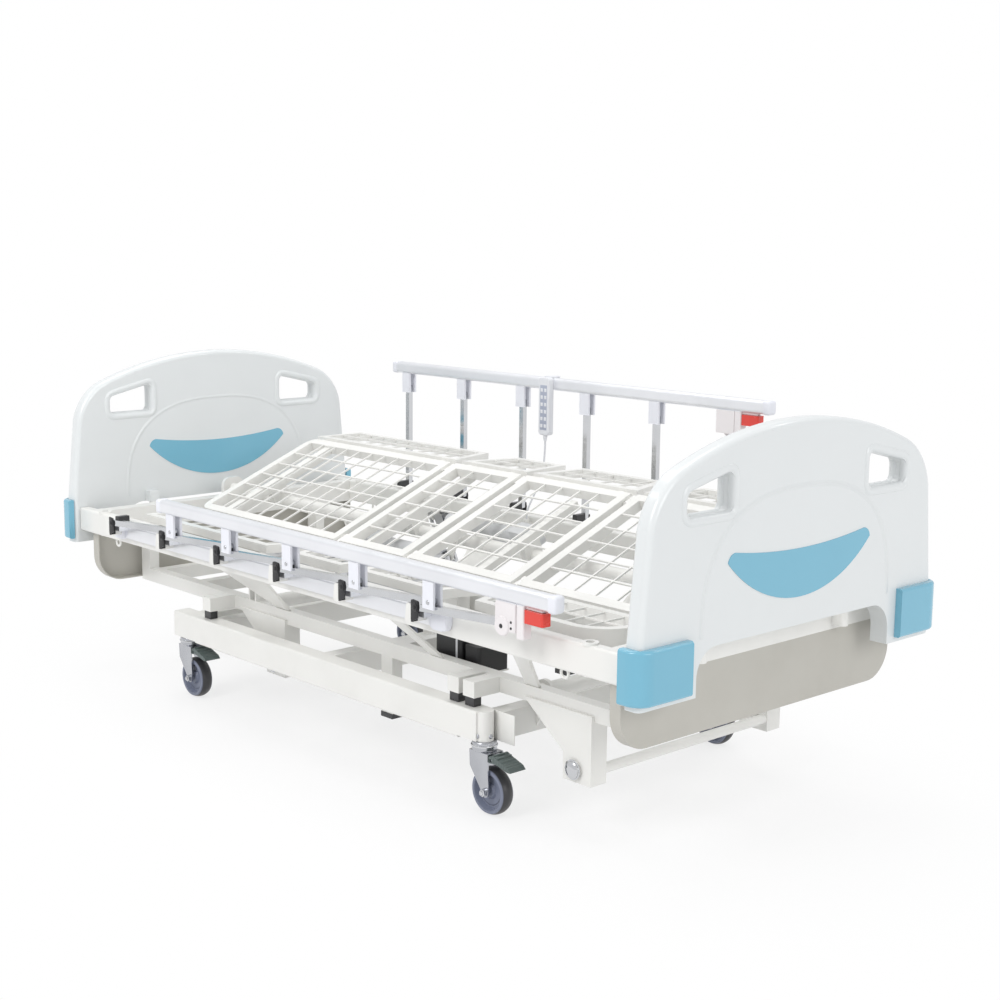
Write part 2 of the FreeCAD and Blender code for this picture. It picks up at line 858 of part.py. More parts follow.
def lift_drive_seat():
    """Clevis on the base for the tail of the lift drive."""
    base = base_beam_bottom_z + cross_beam_height / 2
    z = lift_drive_z()
    half = cross_beam_width / 2
    plates = []
    for side in (-1, 1):
        y = side * (drive_eye_width / 2 + side_gap)
        outline = [(motor_beam_x - half, base), (motor_beam_x + half, base), (motor_beam_x + drive_eye_r, z),
                   (motor_beam_x + drive_eye_r * 0.6, z + drive_eye_r),
                   (motor_beam_x - drive_eye_r * 0.6, z + drive_eye_r), (motor_beam_x - drive_eye_r, z)]
        plates.append(plate_xz(outline, y, y + side * yoke_plate))
    reach = drive_eye_width / 2 + yoke_plate + 3
    return fuse(plates + [rod_y(drive_pin_r, -reach, reach, motor_beam_x, z)])


def base_frame():
    top = base_beam_bottom_z + base_beam_height
    half = base_beam_width / 2
    side = lying_bar(base_head_x, castor_foot_x, -base_beam_mid_y - half, -base_beam_mid_y + half,
                     base_beam_bottom_z, top, 5)
    cross_y = base_beam_mid_y - half + 2
    low = base_beam_bottom_z + 2
    bars = both_sides(side)
    side_bore = bore_x(base_head_x + beam_wall, castor_foot_x - beam_wall, -base_beam_mid_y - half,
                       -base_beam_mid_y + half, base_beam_bottom_z, top, beam_wall)
    hollows = both_sides(side_bore)
    for x in (castor_head_x, pivot_beam_x, motor_beam_x, castor_foot_x):
        x0 = x - cross_beam_width / 2
        x1 = x + cross_beam_width / 2
        bars.append(box(x0, x1, -cross_y, cross_y, low, low + cross_beam_height))
        hollows.append(bore_y(x0, x1, -cross_y - 1, cross_y + 1, low, low + cross_beam_height, beam_wall))
    for side_y in (-base_beam_mid_y, base_beam_mid_y):
        hollows.append(drain(base_head_x + base_drain_inset, side_y, base_beam_bottom_z, beam_wall))
        hollows.append(drain(castor_foot_x - base_drain_inset, side_y, base_beam_bottom_z, beam_wall))
    tubes = fuse(bars).cut(hollows)
    posts = []
    bores = []
    for x, y in castor_centres():
        posts.append(rod_z(castor_post_r, castor_post_bottom_z, top, x, y))
        stem_top = castor_post_bottom_z + stem_length + 1
        bores.append(rod_z(stem_r + running_fit, base_beam_bottom_z, stem_top, x, y))
        reach = castor_recess_half
        recess = fork_ring_r + 2
        bores.append(box(x - reach, x + reach, y - recess, y + recess, base_beam_bottom_z - 1,
                         castor_post_bottom_z))
    lugs = both_sides(pivot_lug(head_pivot_x, pivot_beam_x))
    lugs += both_sides(pivot_lug(foot_pivot_x, castor_foot_x))
    return fuse([tubes] + posts + lugs + [lift_drive_seat()]).cut(bores)


def castor_fork(x, y, braked):
    """Pressed swivel fork with its bearing ring, stem and axle bolt; the wheel trails towards +X."""
    ring = rod_z(fork_ring_r, castor_post_bottom_z - fork_ring_height, castor_post_bottom_z, x, y)
    edges = [e for e in ring.Edges if e.BoundBox.ZLength < 0.01]
    ring = ring.makeFillet(4, edges)
    stem = rod_z(stem_r, castor_post_bottom_z - 2, castor_post_bottom_z + stem_length, x, y)
    axle_x = x + wheel_trail
    inner = wheel_width / 2 + fork_gap
    crown = box(x - fork_ring_r + 4, x + fork_ring_r + 8, y - inner - fork_plate, y + inner + fork_plate,
                fork_crown_z - 6, fork_crown_z + 1)
    cheek = [(x - fork_ring_r + 4, fork_crown_z), (x + fork_ring_r + 8, fork_crown_z),
             (x + fork_ring_r + 8, fork_crown_z - fork_front), (axle_x + fork_boss_r, wheel_r + dish_r),
             (axle_x + fork_boss_r, wheel_r), (axle_x - fork_boss_r, wheel_r),
             (x - fork_ring_r + 6, fork_crown_z - fork_back)]
    pieces = [ring, stem, crown]
    for side in (-1, 1):
        y0 = y + side * inner
        y1 = y0 + side * fork_plate
        pieces.append(plate_xz(cheek, y0, y1))
        pieces.append(rod_y(fork_boss_r, y0, y1, axle_x, wheel_r))
        pieces.append(rod_y(axle_r + 3, y1, y1 + side * 4, axle_x, wheel_r))
    pieces.append(rod_y(axle_r, y - inner, y + inner, axle_x, wheel_r))
    if braked:
        px, pz = pedal_pivot(x)
        pieces.append(box(x + fork_ring_r, px + 3, y - pedal_lug_half, y + pedal_lug_half, pz - 5,
                          fork_crown_z))
        pieces.append(rod_y(pedal_pivot_r, y - pedal_eye_half, y + pedal_eye_half, px, pz))
    return fuse(pieces)


def pedal_pivot(x):
    return x + fork_ring_r + 16, fork_crown_z - 10


def brake_pedal(x, y):
    """Stepped foot pedal that straddles its lug."""
    px, pz = pedal_pivot(x)
    tip_x = px + pedal_length
    rise = pedal_rise
    outline = [(px - 6, pz - rise / 2), (px - 6, pz + 8), (px + 8, pz + rise), (px + 22, pz + rise / 2),
               (tip_x - 8, pz - 4), (tip_x, pz - rise), (tip_x - 10, pz - rise - 1), (px + 16, pz - 4)]
    body = plate_xz(outline, y - pedal_width / 2, y + pedal_width / 2)
    slot_half = pedal_lug_half + 1
    slot = box(px - 9, px + 12, y - slot_half, y + slot_half, pz - 30, pz + 30)
    bore = rod_y(pedal_pivot_r + running_fit, y - pedal_width, y + pedal_width, px, pz)
    return body.cut([slot, bore])


def castor_wheel(x, y):
    """Wheel with a crowned tyre, a dished hub and an axle bore."""
    half = wheel_width / 2
    profile = [
        Vector(0, -half * 0.7, axle_r + running_fit),
        Vector(0, -half * 0.7, hub_r),
        Vector(0, -half * 0.35, dish_r),
        Vector(0, -half * 0.35, wheel_r - dish_inset),
        Vector(0, -half, wheel_r - rim_inset),
    ]
    shoulder = Vector(0, -half, wheel_r - tyre_round)
    edges = [Part.makeLine(a, b) for a, b in zip(profile, profile[1:])]
    edges.append(Part.makeLine(profile[-1], shoulder))
    edges.append(Part.Arc(shoulder, Vector(0, 0, wheel_r), Vector(0, half, wheel_r - tyre_round)).toShape())
    other = [Vector(0, -p.y, p.z) for p in profile]
    edges.append(Part.makeLine(Vector(0, half, wheel_r - tyre_round), other[-1]))
    edges += [Part.makeLine(a, b) for a, b in zip(other, other[1:])][::-1]
    edges.append(Part.makeLine(other[0], profile[0]))
    face = Part.Face(Part.Wire(Part.sortEdges(edges)[0]))
    wheel = face.revolve(Vector(0, 0, 0), Vector(0, 1, 0), 360)
    return moved(wheel, x + wheel_trail, y, wheel_r)


# Lift arms and drives


def lift_arms(pivot_x, open_clear):
    """Cross tube with an arm on each side, outside its lugs."""
    pin_x, pin_z = lift_pin_at(pivot_x)
    y1 = -(chord_mid_y - chord_width / 2 - bracket_plate - 2)
    y0 = y1 + arm_plate
    arm = link_xz(pivot_x, arm_pivot_z, pin_x, pin_z, arm_half_width, y1, y0)
    collar = rod_y(arm_tube_r + 5, y1, y0, pivot_x, arm_pivot_z)
    boss = rod_y(arm_pin_r + 8, y1, y0, pin_x, pin_z)
    tube = rod_y(arm_tube_r, y1, -y1, pivot_x, arm_pivot_z)
    bore = rod_y(arm_pin_r + open_clear, y1 - 1, y0 + 1, pin_x, pin_z)
    near = fuse([arm, collar, boss])
    return fuse(both_sides(near) + [tube]).cut(both_sides(bore))


def lift_arms_head():
    arms = lift_arms(head_pivot_x, running_fit)
    start = 90 - arm_swing_deg / 2
    tip_x, tip_z = at_angle(head_pivot_x, arm_pivot_z, lift_lever_r, start)
    half = lever_plate / 2
    lever = link_xz(head_pivot_x, arm_pivot_z, tip_x, tip_z, lever_pin_r + 5, -half, half)
    reach = yoke_gap / 2 + yoke_plate
    pin = rod_y(lever_pin_r, -reach, reach, tip_x, tip_z)
    return fuse([arms, lever, pin])


def lift_arms_foot():
    return lift_arms(foot_pivot_x, arm_open_clear)


def sag(radius, swing_deg):
    """How far a lever's pin rises and falls across its drive's line."""
    return radius * (1 - math.cos(math.radians(swing_deg / 2)))


def drive_line(radius, swing_deg):
    """Distance of a drive's line from its lever's pivot, halfway through the sag."""
    return radius - sag(radius, swing_deg) / 2


def half_stroke(radius, swing_deg):
    return radius * math.sin(math.radians(swing_deg / 2))


def lift_drive_z():
    return arm_pivot_z + drive_line(lift_lever_r, arm_swing_deg)


def turn_drive_z():
    return shaft_z - drive_line(turn_lever_r, 2 * turn_rest_deg)


def hinge_z():
    return deck_top_z - panel_tube / 2


def drive_housing(tail, front, motor_side):
    """Drive along +X from its tail eye: eye, gearbox, guide tube and a motor beside the tube."""
    eye = rod_y(drive_eye_r, -drive_eye_width / 2, drive_eye_width / 2, tail, 0)
    half = drive_eye_width / 2
    neck = box(tail, tail + neck_length, -half, half, -half, half)
    r = drive_motor_r
    gearbox = upright(box(tail + gearbox_start, tail + gearbox_end, -r, r, -r, r), r / 3)
    tube = rod_x(drive_tube_r, tail + tube_start, front, 0, 0)
    motor_end = tail + tube_start + drive_motor_length
    motor = rod_x(r * 0.8, tail + tube_start, motor_end, 0, motor_side * drive_tube_r)
    bore = rod_x(drive_rod_r + running_fit, tail + bore_start, front + 1, 0, 0)
    pivot = rod_y(drive_pin_r, -drive_eye_width, drive_eye_width, tail, 0)
    return fuse([eye, neck, gearbox, tube, motor]).cut([bore, pivot])


def drive_rod(front, tip, inside, drop):
    """Push rod along +X with a slotted yoke round the lever's pin; inside is its length in the tube."""
    slot_x = lever_pin_r + slot_spare
    slot_z = lever_pin_r + drop / 2 + slot_spare
    heel_x = tip - slot_x - heel_wall
    rod = rod_x(drive_rod_r, front - inside, heel_x - 6, 0, 0)
    heel = box(heel_x - heel_length, heel_x, -yoke_gap / 2 - yoke_plate, yoke_gap / 2 + yoke_plate,
               -drive_rod_r - 2, drive_rod_r + 2)
    pieces = [rod, heel]
    for side in (-1, 1):
        y0 = side * yoke_gap / 2
        cheek = box(heel_x - heel_length, tip + slot_x + yoke_wall, y0, y0 + side * yoke_plate,
                    -slot_z - yoke_wall, slot_z + yoke_wall)
        slot = box(tip - slot_x, tip + slot_x, y0 - side, y0 + side * (yoke_plate + 1), -slot_z, slot_z)
        pieces.append(cheek.cut(slot))
    return fuse(pieces)


def placed(shape, origin, degrees_z, tilt_y=0.0):
    """Moves a drive drawn along +X to its place."""
    copy = shape.copy()
    copy.rotate(Vector(0, 0, 0), Vector(0, 0, 1), degrees_z)
    if tilt_y:
        copy.rotate(Vector(0, 0, 0), Vector(0, 1, 0), tilt_y)
    copy.translate(Vector(*origin))
    return copy


def lift_drive_front():
    """Distance from the lift drive's tail to its front end."""
    reach = motor_beam_x - head_pivot_x + half_stroke(lift_lever_r, arm_swing_deg)
    return reach - 2 * half_stroke(lift_lever_r, arm_swing_deg) - lift_front_gap


def lift_drive_tip():
    return motor_beam_x - head_pivot_x - half_stroke(lift_lever_r, arm_swing_deg)


def hilo_actuator():
    shape = drive_housing(0, lift_drive_front(), -1)
    return placed(shape, (motor_beam_x, 0, lift_drive_z()), 180)


def hilo_rod():
    travel = 2 * half_stroke(lift_lever_r, arm_swing_deg)
    drop = sag(lift_lever_r, arm_swing_deg)
    shape = drive_rod(lift_drive_front(), lift_drive_tip(), travel + rod_overlap, drop)
    return placed(shape, (motor_beam_x, 0, lift_drive_z()), 180)


def turn_drive_tip():
    return chord_mid_y + half_stroke(turn_lever_r, 2 * turn_rest_deg)


def turn_drive_front():
    return chord_mid_y - half_stroke(turn_lever_r, 2 * turn_rest_deg) - turn_front_gap


def turn_actuator():
    shape = drive_housing(0, turn_drive_front(), 0.9)
    return placed(shape, (turn_lever_x, -chord_mid_y, turn_drive_z()), 90)


def turn_rod():
    shape = drive_rod(turn_drive_front(), turn_drive_tip(), rod_overlap, sag(turn_lever_r, 2 * turn_rest_deg))
    return placed(shape, (turn_lever_x, -chord_mid_y, turn_drive_z()), 90)


# Deck, drawn level


def deck(shape):
    """Turns a level deck piece into its rest position about the shaft."""
    return turned(shape, turn_rest_deg, Vector(1, 0, 0), Vector(0, 0, shaft_z))


def wire_grid(x0, x1, y0, y1, pitch_y):
    """Welded mesh of square wires inside a frame."""
    top = deck_top_z - 1
    wires = []
    rows = max(1, round(abs(y1 - y0) / pitch_y) - 1)
    for i in range(rows):
        y = y0 + (y1 - y0) * (i + 1) / (rows + 1)
        wires.append(box(x0 - 2, x1 + 2, y - wire / 2, y + wire / 2, top - wire, top))
    columns = max(1, round((x1 - x0) / wire_pitch) - 1)
    for i in range(columns):
        x = x0 + (x1 - x0) * (i + 1) / (columns + 1)
        wires.append(box(x - wire / 2, x + wire / 2, min(y0, y1) - 2, max(y0, y1) + 2, top - wire, top))
    return wires


def panel(x0, x1, corner_ends):
    """Centre panel of one section: a tube frame with mesh."""
    z0 = deck_top_z - panel_tube
    w = panel_half_width
    outer = box(x0, x1, -w, w, z0, deck_top_z)
    if corner_ends:
        edges = [e for e in outer.Edges if e.BoundBox.ZLength > 1 and abs(e.BoundBox.XMin - x0) < 0.01]
        outer = outer.makeFillet(panel_corner_r, edges)
    inner = box(x0 + panel_tube, x1 - panel_tube, -w + panel_tube, w - panel_tube, z0 - 1, deck_top_z + 1)
    frame = outer.cut(inner)
    mesh = wire_grid(x0 + panel_tube, x1 - panel_tube, -w + panel_tube, w - panel_tube, wire_pitch)
    return [frame] + mesh


def hinge_parent(x, toward):
    """Barrels on the parent section, at both ends of a cross hinge; toward is +1 if it lies at +X."""
    z = hinge_z()
    pieces = []
    for side in (-1, 1):
        y0 = side * (panel_half_width - barrel_inset)
        y1 = y0 + side * barrel_length
        barrel = rod_y(barrel_r - 1, y0, y1, x, z)
        lug = box(x, x + toward * (section_gap / 2 + 4), y0, y1, z - 5, z + 5)
        bore = rod_y(barrel_bore_r, y0 - 50, y1 + 50, x, z)
        pieces.append(fuse([barrel, lug]).cut(bore))
    return pieces


def hinge_child(x, toward):
    """Pins on the child section with their lugs, inboard of the parent's barrels."""
    z = hinge_z()
    pieces = []
    for side in (-1, 1):
        y1 = side * (panel_half_width - barrel_inset) + side * barrel_length
        y0 = side * (panel_half_width - barrel_inset - pin_collar)
        y_in = side * (panel_half_width - barrel_inset - 1)
        pin = rod_y(barrel_bore_r - running_fit, y0, y1, x, z)
        collar = rod_y(barrel_r - 1, y0, y_in, x, z)
        lug = box(x, x + toward * (section_gap / 2 + 4), y0, y_in, z - 5, z + 5)
        pieces.append(fuse([pin, collar, lug]))
    return pieces


def flap_axis_y():
    return panel_half_width + flap_gap / 2


def flap_barrels(x0, x1):
    """Barrels along both edges of a section for its two flaps."""
    z = hinge_z()
    pieces = []
    for side in (-1, 1):
        y = side * flap_axis_y()
        for x in (x0 + flap_barrel_inset, x1 - flap_barrel_inset):
            a = x - flap_barrel_length / 2
            b = x + flap_barrel_length / 2
            barrel = rod_x(flap_barrel_r, a, b, y, z)
            lug = box(a, b, side * (panel_half_width - 2), y, z - 3, z + 3)
            bore = rod_x(flap_pin_r + running_fit, a - 1, b + 1, y, z)
            pieces.append(fuse([barrel, lug]).cut(bore))
    return pieces


def tapered(x0, x1, cut0, cut1, inset, z0, z1):
    """A flap's outline as a slab, its two ends slanting in towards the outer edge."""
    inner_y = panel_half_width + flap_gap
    slope0 = cut0 / flap_width
    slope1 = cut1 / flap_width
    y0 = inner_y + inset
    y1 = inner_y + flap_width - inset
    shift0 = inset * math.hypot(1, slope0)
    shift1 = inset * math.hypot(1, slope1)
    corners = [
        Vector(x0 + slope0 * inset + shift0, y0, z0),
        Vector(x1 - slope1 * inset - shift1, y0, z0),
        Vector(x1 - slope1 * (flap_width - inset) - shift1, y1, z0),
        Vector(x0 + slope0 * (flap_width - inset) + shift0, y1, z0),
    ]
    face = Part.Face(Part.makePolygon(corners + corners[:1]))
    return face.extrude(Vector(0, 0, z1 - z0))


def flap_end_cut(swing_deg):
    """How far a flap's end stands back at its outer edge so that two flaps can close on each other."""
    height = (flap_width + flap_gap) * math.sin(math.radians(turn_rest_deg)) + panel_tube / 2
    back = height * math.tan(math.radians(swing_deg / 2)) - section_gap / 2
    return max(0, back + flap_end_clear)


def flap_cuts(name):
    leg_swing_deg = leg_follow * thigh_swing_deg
    cuts = {
        "back": (0, flap_end_cut(back_swing_deg)),
        "seat": (flap_end_cut(back_swing_deg), flap_end_cut(thigh_swing_deg)),
        "thigh": (flap_end_cut(thigh_swing_deg), flap_end_cut(leg_swing_deg)),
        "leg": (flap_end_cut(leg_swing_deg), 0),
    }
    return cuts[name]


def flap(name, side):
    """Side flap of one section, drawn level; its pins run through the section's barrels."""
    x0, x1 = section_limits(name)
    cut0, cut1 = flap_cuts(name)
    inner_y = panel_half_width + flap_gap
    outer_y = inner_y + flap_width
    z0 = deck_top_z - flap_tube
    outer = tapered(x0, x1, cut0, cut1, 0, z0, deck_top_z)
    hole = tapered(x0, x1, cut0, cut1, flap_tube, z0 - 1, deck_top_z + 1)
    pieces = []
    if name == "leg":
        low = box(x0 + cut0 + 2 * flap_tube, x1, inner_y + flap_tube, outer_y, deck_top_z - flap_band_height,
                  deck_top_z)
        blank = box(x0, x1, inner_y, outer_y, deck_top_z - flap_band_height, deck_top_z)
        blank = blank.makeFillet(flap_corner_r, far_corner(blank, x1, outer_y))
        inside = box(x0 - 1, x1 - flap_band_thick, inner_y - 1, outer_y - flap_band_thick,
                     deck_top_z - flap_band_height - 1, deck_top_z + 1)
        r = flap_corner_r - flap_band_thick
        inside = inside.makeFillet(r, far_corner(inside, x1 - flap_band_thick, outer_y - flap_band_thick))
        pieces.append(blank.cut(inside).common(low))
        outer = outer.makeFillet(flap_corner_r, far_corner(outer, x1, outer_y))
        r = flap_corner_r - flap_tube
        hole = hole.makeFillet(r, far_corner(hole, x1 - flap_tube, outer_y - flap_tube))
    grid = wire_grid(x0 + flap_tube, x1 - flap_tube, inner_y + flap_tube, outer_y - flap_tube,
                     flap_wire_pitch)
    pieces.append(outer.cut(hole))
    pieces += [g.common(outer) for g in grid]
    axis_y = flap_axis_y()
    z = hinge_z()
    for x, way in ((x0 + flap_barrel_inset, 1), (x1 - flap_barrel_inset, -1)):
        a = x - way * flap_barrel_length / 2
        b = x + way * (flap_barrel_length / 2 + 1)
        c = b + way * 8
        pieces.append(rod_x(flap_pin_r, a, c, axis_y, z))
        pieces.append(box(b, c, axis_y - 4, inner_y + 2, z - 4, z + 4))
    shape = fuse(pieces)
    if side < 0:
        shape = across(shape)
    hinge = Vector(0, side * axis_y, z)
    return deck(turned(shape, -turn_rest_deg, Vector(1, 0, 0), hinge))


def far_corner(shape, x, y):
    """The vertical edges of a block at one corner."""
    found = []
    for e in shape.Edges:
        tall = e.BoundBox.ZLength > 1
        if tall and abs(e.BoundBox.XMin - x) < 0.01 and abs(e.BoundBox.YMin - y) < 0.01:
            found.append(e)
    return found


def section_limits(name):
    gap = section_gap / 2
    limits = {
        "back": (back_start_x, seat_hinge_x - gap),
        "seat": (seat_hinge_x + gap, thigh_hinge_x - gap),
        "thigh": (thigh_hinge_x + gap, leg_hinge_x - gap),
        "leg": (leg_hinge_x + gap, leg_end_x),
    }
    return limits[name]


def deck_lever(hinge_x, start_deg, root_x, side):
    """Lever under a section: a plate from the section's end tube to the drive's pin."""
    tip_x, tip_z = at_angle(hinge_x, hinge_z(), lever_r, start_deg)
    low = deck_top_z - panel_tube
    y = side * deck_drive_y
    way = math.copysign(1, root_x - hinge_x)
    outline = [(root_x, low + 4), (root_x + way * panel_tube, low + 4), (tip_x + 8 * way, tip_z - 6),
               (tip_x - 6 * way, tip_z - 8), (tip_x - 7 * way, tip_z + 4)]
    plate = plate_xz(outline, y - lever_plate / 2, y + lever_plate / 2)
    eye = rod_y(lever_pin_r + 4, y - lever_plate / 2, y + lever_plate / 2, tip_x, tip_z)
    reach = yoke_gap / 2 + yoke_plate
    pin = rod_y(lever_pin_r, y - reach, y + reach, tip_x, tip_z)
    return fuse([plate, eye, pin])


def back_section():
    x0, x1 = section_limits("back")
    tube = box(back_inner_tube_x, back_inner_tube_x + panel_tube, -panel_half_width + 2, panel_half_width - 2,
               deck_top_z - panel_tube, deck_top_z - 6)
    lever = deck_lever(seat_hinge_x, -90 + back_swing_deg / 2, x1, 1)
    pieces = panel(x0, x1, True) + hinge_child(seat_hinge_x, -1) + flap_barrels(x0, x1) + [tube, lever]
    return deck(fuse(pieces))


def thigh_section():
    x0, x1 = section_limits("thigh")
    lever = deck_lever(thigh_hinge_x, -90 - thigh_swing_deg / 2, x0, -1)
    pieces = panel(x0, x1, False) + hinge_child(thigh_hinge_x, 1) + hinge_parent(leg_hinge_x, -1)
    return deck(fuse(pieces + flap_barrels(x0, x1) + [lever]))


def leg_section():
    x0, x1 = section_limits("leg")
    pieces = panel(x0, x1, False) + hinge_child(leg_hinge_x, 1) + flap_barrels(x0, x1)
    return deck(fuse(pieces))


def cradle(x):
    """Rest on the shaft for a section that lifts off it."""
    low = deck_top_z - panel_tube - deck_clear
    bar = box(x - cradle_bar / 2, x + cradle_bar / 2, -cradle_half_width, cradle_half_width,
              low - cradle_bar, low)
    post = box(x - cradle_bar / 2, x + cradle_bar / 2, -riser_half_width, riser_half_width, shaft_z, low - 1)
    return fuse([bar, post])


def riser(x):
    """Welded bridge from the shaft to the seat frame."""
    low = deck_top_z - panel_tube
    half = cradle_bar / 2
    bar = box(x - half, x + half, -panel_half_width, panel_half_width, low - cradle_bar, low + 1)
    post = box(x - half, x + half, -riser_half_width, riser_half_width, shaft_z, low)
    return fuse([bar, post])


def deck_drive_seat(x, side, z):
    """Clevis beside the shaft for the tail of a deck drive."""
    y = side * deck_drive_y
    inner = drive_eye_width / 2 + side_gap
    half = seat_bar_half
    tall = seat_plate_half
    bar = box(x - half, x + half, 0, y - side * inner, z - half + 1, z + half - 1)
    wide = half + 2
    near = box(x - wide, x + wide, y - side * inner, y - side * (inner + yoke_plate), z - tall, z + tall)
    pin = rod_y(drive_pin_r, y - side * (inner + 2), y + side * (inner + 4), x, z)
    cap = rod_y(drive_pin_r + 5, y + side * inner, y + side * (inner + 4), x, z)
    return fuse([bar, near, pin, cap])


def back_drive_z():
    return hinge_z() - drive_line(lever_r, back_swing_deg)


def thigh_drive_z():
    return hinge_z() - drive_line(lever_r, thigh_swing_deg)


def turn_lever():
    tip_y = 0
    tip_z = shaft_z - turn_lever_r
    half = lever_plate / 2
    x = turn_lever_x
    web = box(x - half, x + half, -turn_web_half, turn_web_half, tip_z, shaft_z)
    eye = rod_x(lever_pin_r + 6, x - half, x + half, tip_y, tip_z)
    reach = yoke_gap / 2 + yoke_plate
    pin = rod_x(lever_pin_r, x - reach, x + reach, tip_y, tip_z)
    return fuse([web, eye, pin])


def seat_section():
    """Seat panel in one weldment with the turning shaft, its cradles and the drive seats."""
    x0, x1 = section_limits("seat")
    shaft = rod_x(shaft_r, -end_beam_x - bearing_plate - 2, end_beam_x + bearing_plate + 2, 0, shaft_z)
    pieces = panel(x0, x1, False) + hinge_parent(seat_hinge_x, 1) + hinge_parent(thigh_hinge_x, -1)
    pieces += flap_barrels(x0, x1) + [shaft, turn_lever()]
    pieces += [cradle(x) for x in cradle_x] + [riser(x) for x in riser_x]
    pieces.append(deck_drive_seat(back_drive_tail_x, 1, back_drive_z()))
    pieces.append(deck_drive_seat(thigh_drive_tail_x, -1, thigh_drive_z()))
    return deck(fuse(pieces))


def back_drive_tip():
    return back_drive_tail_x - seat_hinge_x - half_stroke(lever_r, back_swing_deg)


def thigh_drive_tip():
    return thigh_hinge_x - half_stroke(lever_r, thigh_swing_deg) - thigh_drive_tail_x


def back_actuator():
    shape = drive_housing(0, back_drive_tip() - deck_front_gap, -0.6)
    return deck(placed(shape, (back_drive_tail_x, deck_drive_y, back_drive_z()), 180))


def back_rod():
    travel = 2 * half_stroke(lever_r, back_swing_deg)
    shape = drive_rod(back_drive_tip() - deck_front_gap, back_drive_tip(), travel + rod_overlap,
                      sag(lever_r, back_swing_deg))
    return deck(placed(shape, (back_drive_tail_x, deck_drive_y, back_drive_z()), 180))


def knee_actuator():
    shape = drive_housing(0, thigh_drive_tip() - deck_front_gap, -0.6)
    return deck(placed(shape, (thigh_drive_tail_x, -deck_drive_y, thigh_drive_z()), 0))


def knee_rod():
    travel = 2 * half_stroke(lever_r, thigh_swing_deg)
    shape = drive_rod(thigh_drive_tip() - deck_front_gap, thigh_drive_tip(), travel + rod_overlap,
                      sag(lever_r, thigh_swing_deg))
    return deck(placed(shape, (thigh_drive_tail_x, -deck_drive_y, thigh_drive_z()), 0))


# Side rails


def post_xs():
    return [first_post_x + i * post_pitch for i in range(post_count)]


def fold_deg():
    return math.degrees(math.asin(post_fold_rise / post_length))


def rail_post(x, side, degrees):
    """Flat oval post between its lower and upper pivots."""
    top_x, top_z = at_angle(x, rail_pivot_z, post_length, degrees)
    y0 = side * rail_y - post_thick / 2
    y1 = side * rail_y + post_thick / 2
    post = link_xz(x, rail_pivot_z, top_x, top_z, post_width / 2, y0, y1)
    low = rod_y(rail_pin_r + running_fit, y0 - 1, y1 + 1, x, rail_pivot_z)
    top = rod_y(rail_pin_r + running_fit, y0 - 1, y1 + 1, top_x, top_z)
    return post.cut([low, top])


def rail_bar(side):
    """Bottom bar on the side beam with a pivot bracket for each post."""
    xs = post_xs()
    y0 = side * (beam_outer_y)
    y1 = side * (beam_outer_y + rail_bar_depth)
    top = rail_pivot_z - post_width / 2 - 4
    pieces = [lying_bar(xs[0] - rail_bar_overhang, xs[-1] + rail_bar_overhang, y0, y1,
                        top - rail_bar_height, top, 5)]
    inner = side * (rail_y - post_thick / 2 - side_gap)
    outer = side * (rail_y + post_thick / 2 + side_gap)
    for x in xs:
        b = bracket_half_width
        root = top - pivot_bracket_root
        outline = [(x - b, root), (x + b, root), (x + b * 0.7, rail_pivot_z + bracket_over_pivot),
                   (x - b * 0.7, rail_pivot_z + bracket_over_pivot)]
        pieces.append(plate_xz(outline, side * (beam_outer_y + rail_bar_depth / 2), inner))
        pieces.append(rod_y(rail_pin_r, inner - side, outer + side, x, rail_pivot_z))
        pieces.append(rod_y(rail_pin_r + 4, outer, outer + side * 4, x, rail_pivot_z))
    return fuse(pieces)


def rail_bases():
    return Part.makeCompound([rail_bar(-1), rail_bar(1)])


def rail_shift(degrees):
    return at_angle(0, 0, post_length, degrees)


def handrail(side, degrees):
    """Handrail with an open socket over each post, the latch housing and its pillar."""
    dx, dz = rail_shift(degrees)
    xs = [x + dx for x in post_xs()]
    pivot_z = rail_pivot_z + dz
    low = pivot_z + handrail_over_pivot
    half = handrail_depth / 2
    y = side * rail_y
    x0 = xs[0] - handrail_before
    x1 = xs[-1] + handrail_after
    rail = lying_bar(x0, x1, y - half, y + half, low, low + handrail_height, 9)
    wall = handrail_wall
    inside = lying_bar(x0 + wall, x1 - wall, y - half + wall, y + half - wall, low + wall,
                       low + handrail_height - wall, 9 - wall)
    rail = rail.cut([inside, drain(x0 + 20, y, low, handrail_wall), drain(x1 - 10, y, low, handrail_wall)])
    gap = post_thick / 2 + side_gap
    pieces = [rail]
    for i, x in enumerate(xs):
        left = socket_half_width
        right = socket_half_width
        if i == len(xs) - 1:
            left = latch_before
            right = latch_after
        for way in (-1, 1):
            a = y + way * gap
            b = y + way * (gap + socket_cheek)
            pieces.append(box(x - left, x + right, a, b, pivot_z - socket_below, low + 2))
        reach = gap + socket_cheek
        pieces.append(rod_y(rail_pin_r, y - reach, y + reach, x, pivot_z))
    x = xs[-1] + latch_after
    pillar = box(x - 1, x + pillar_width, y - half + 2, y + half - 2, low - pillar_length, low + 2)
    web = box(x - pillar_web, x, y - gap - 1, y + gap + 1, low - pillar_web_height, low + 2)
    pieces += [upright(pillar, 4), web]
    slot_x = x + pillar_width
    guide = box(slot_x - 1, slot_x + button_length - 6, y - 5, y + 5, low - 5, low + 1)
    pieces.append(guide)
    return fuse(pieces)


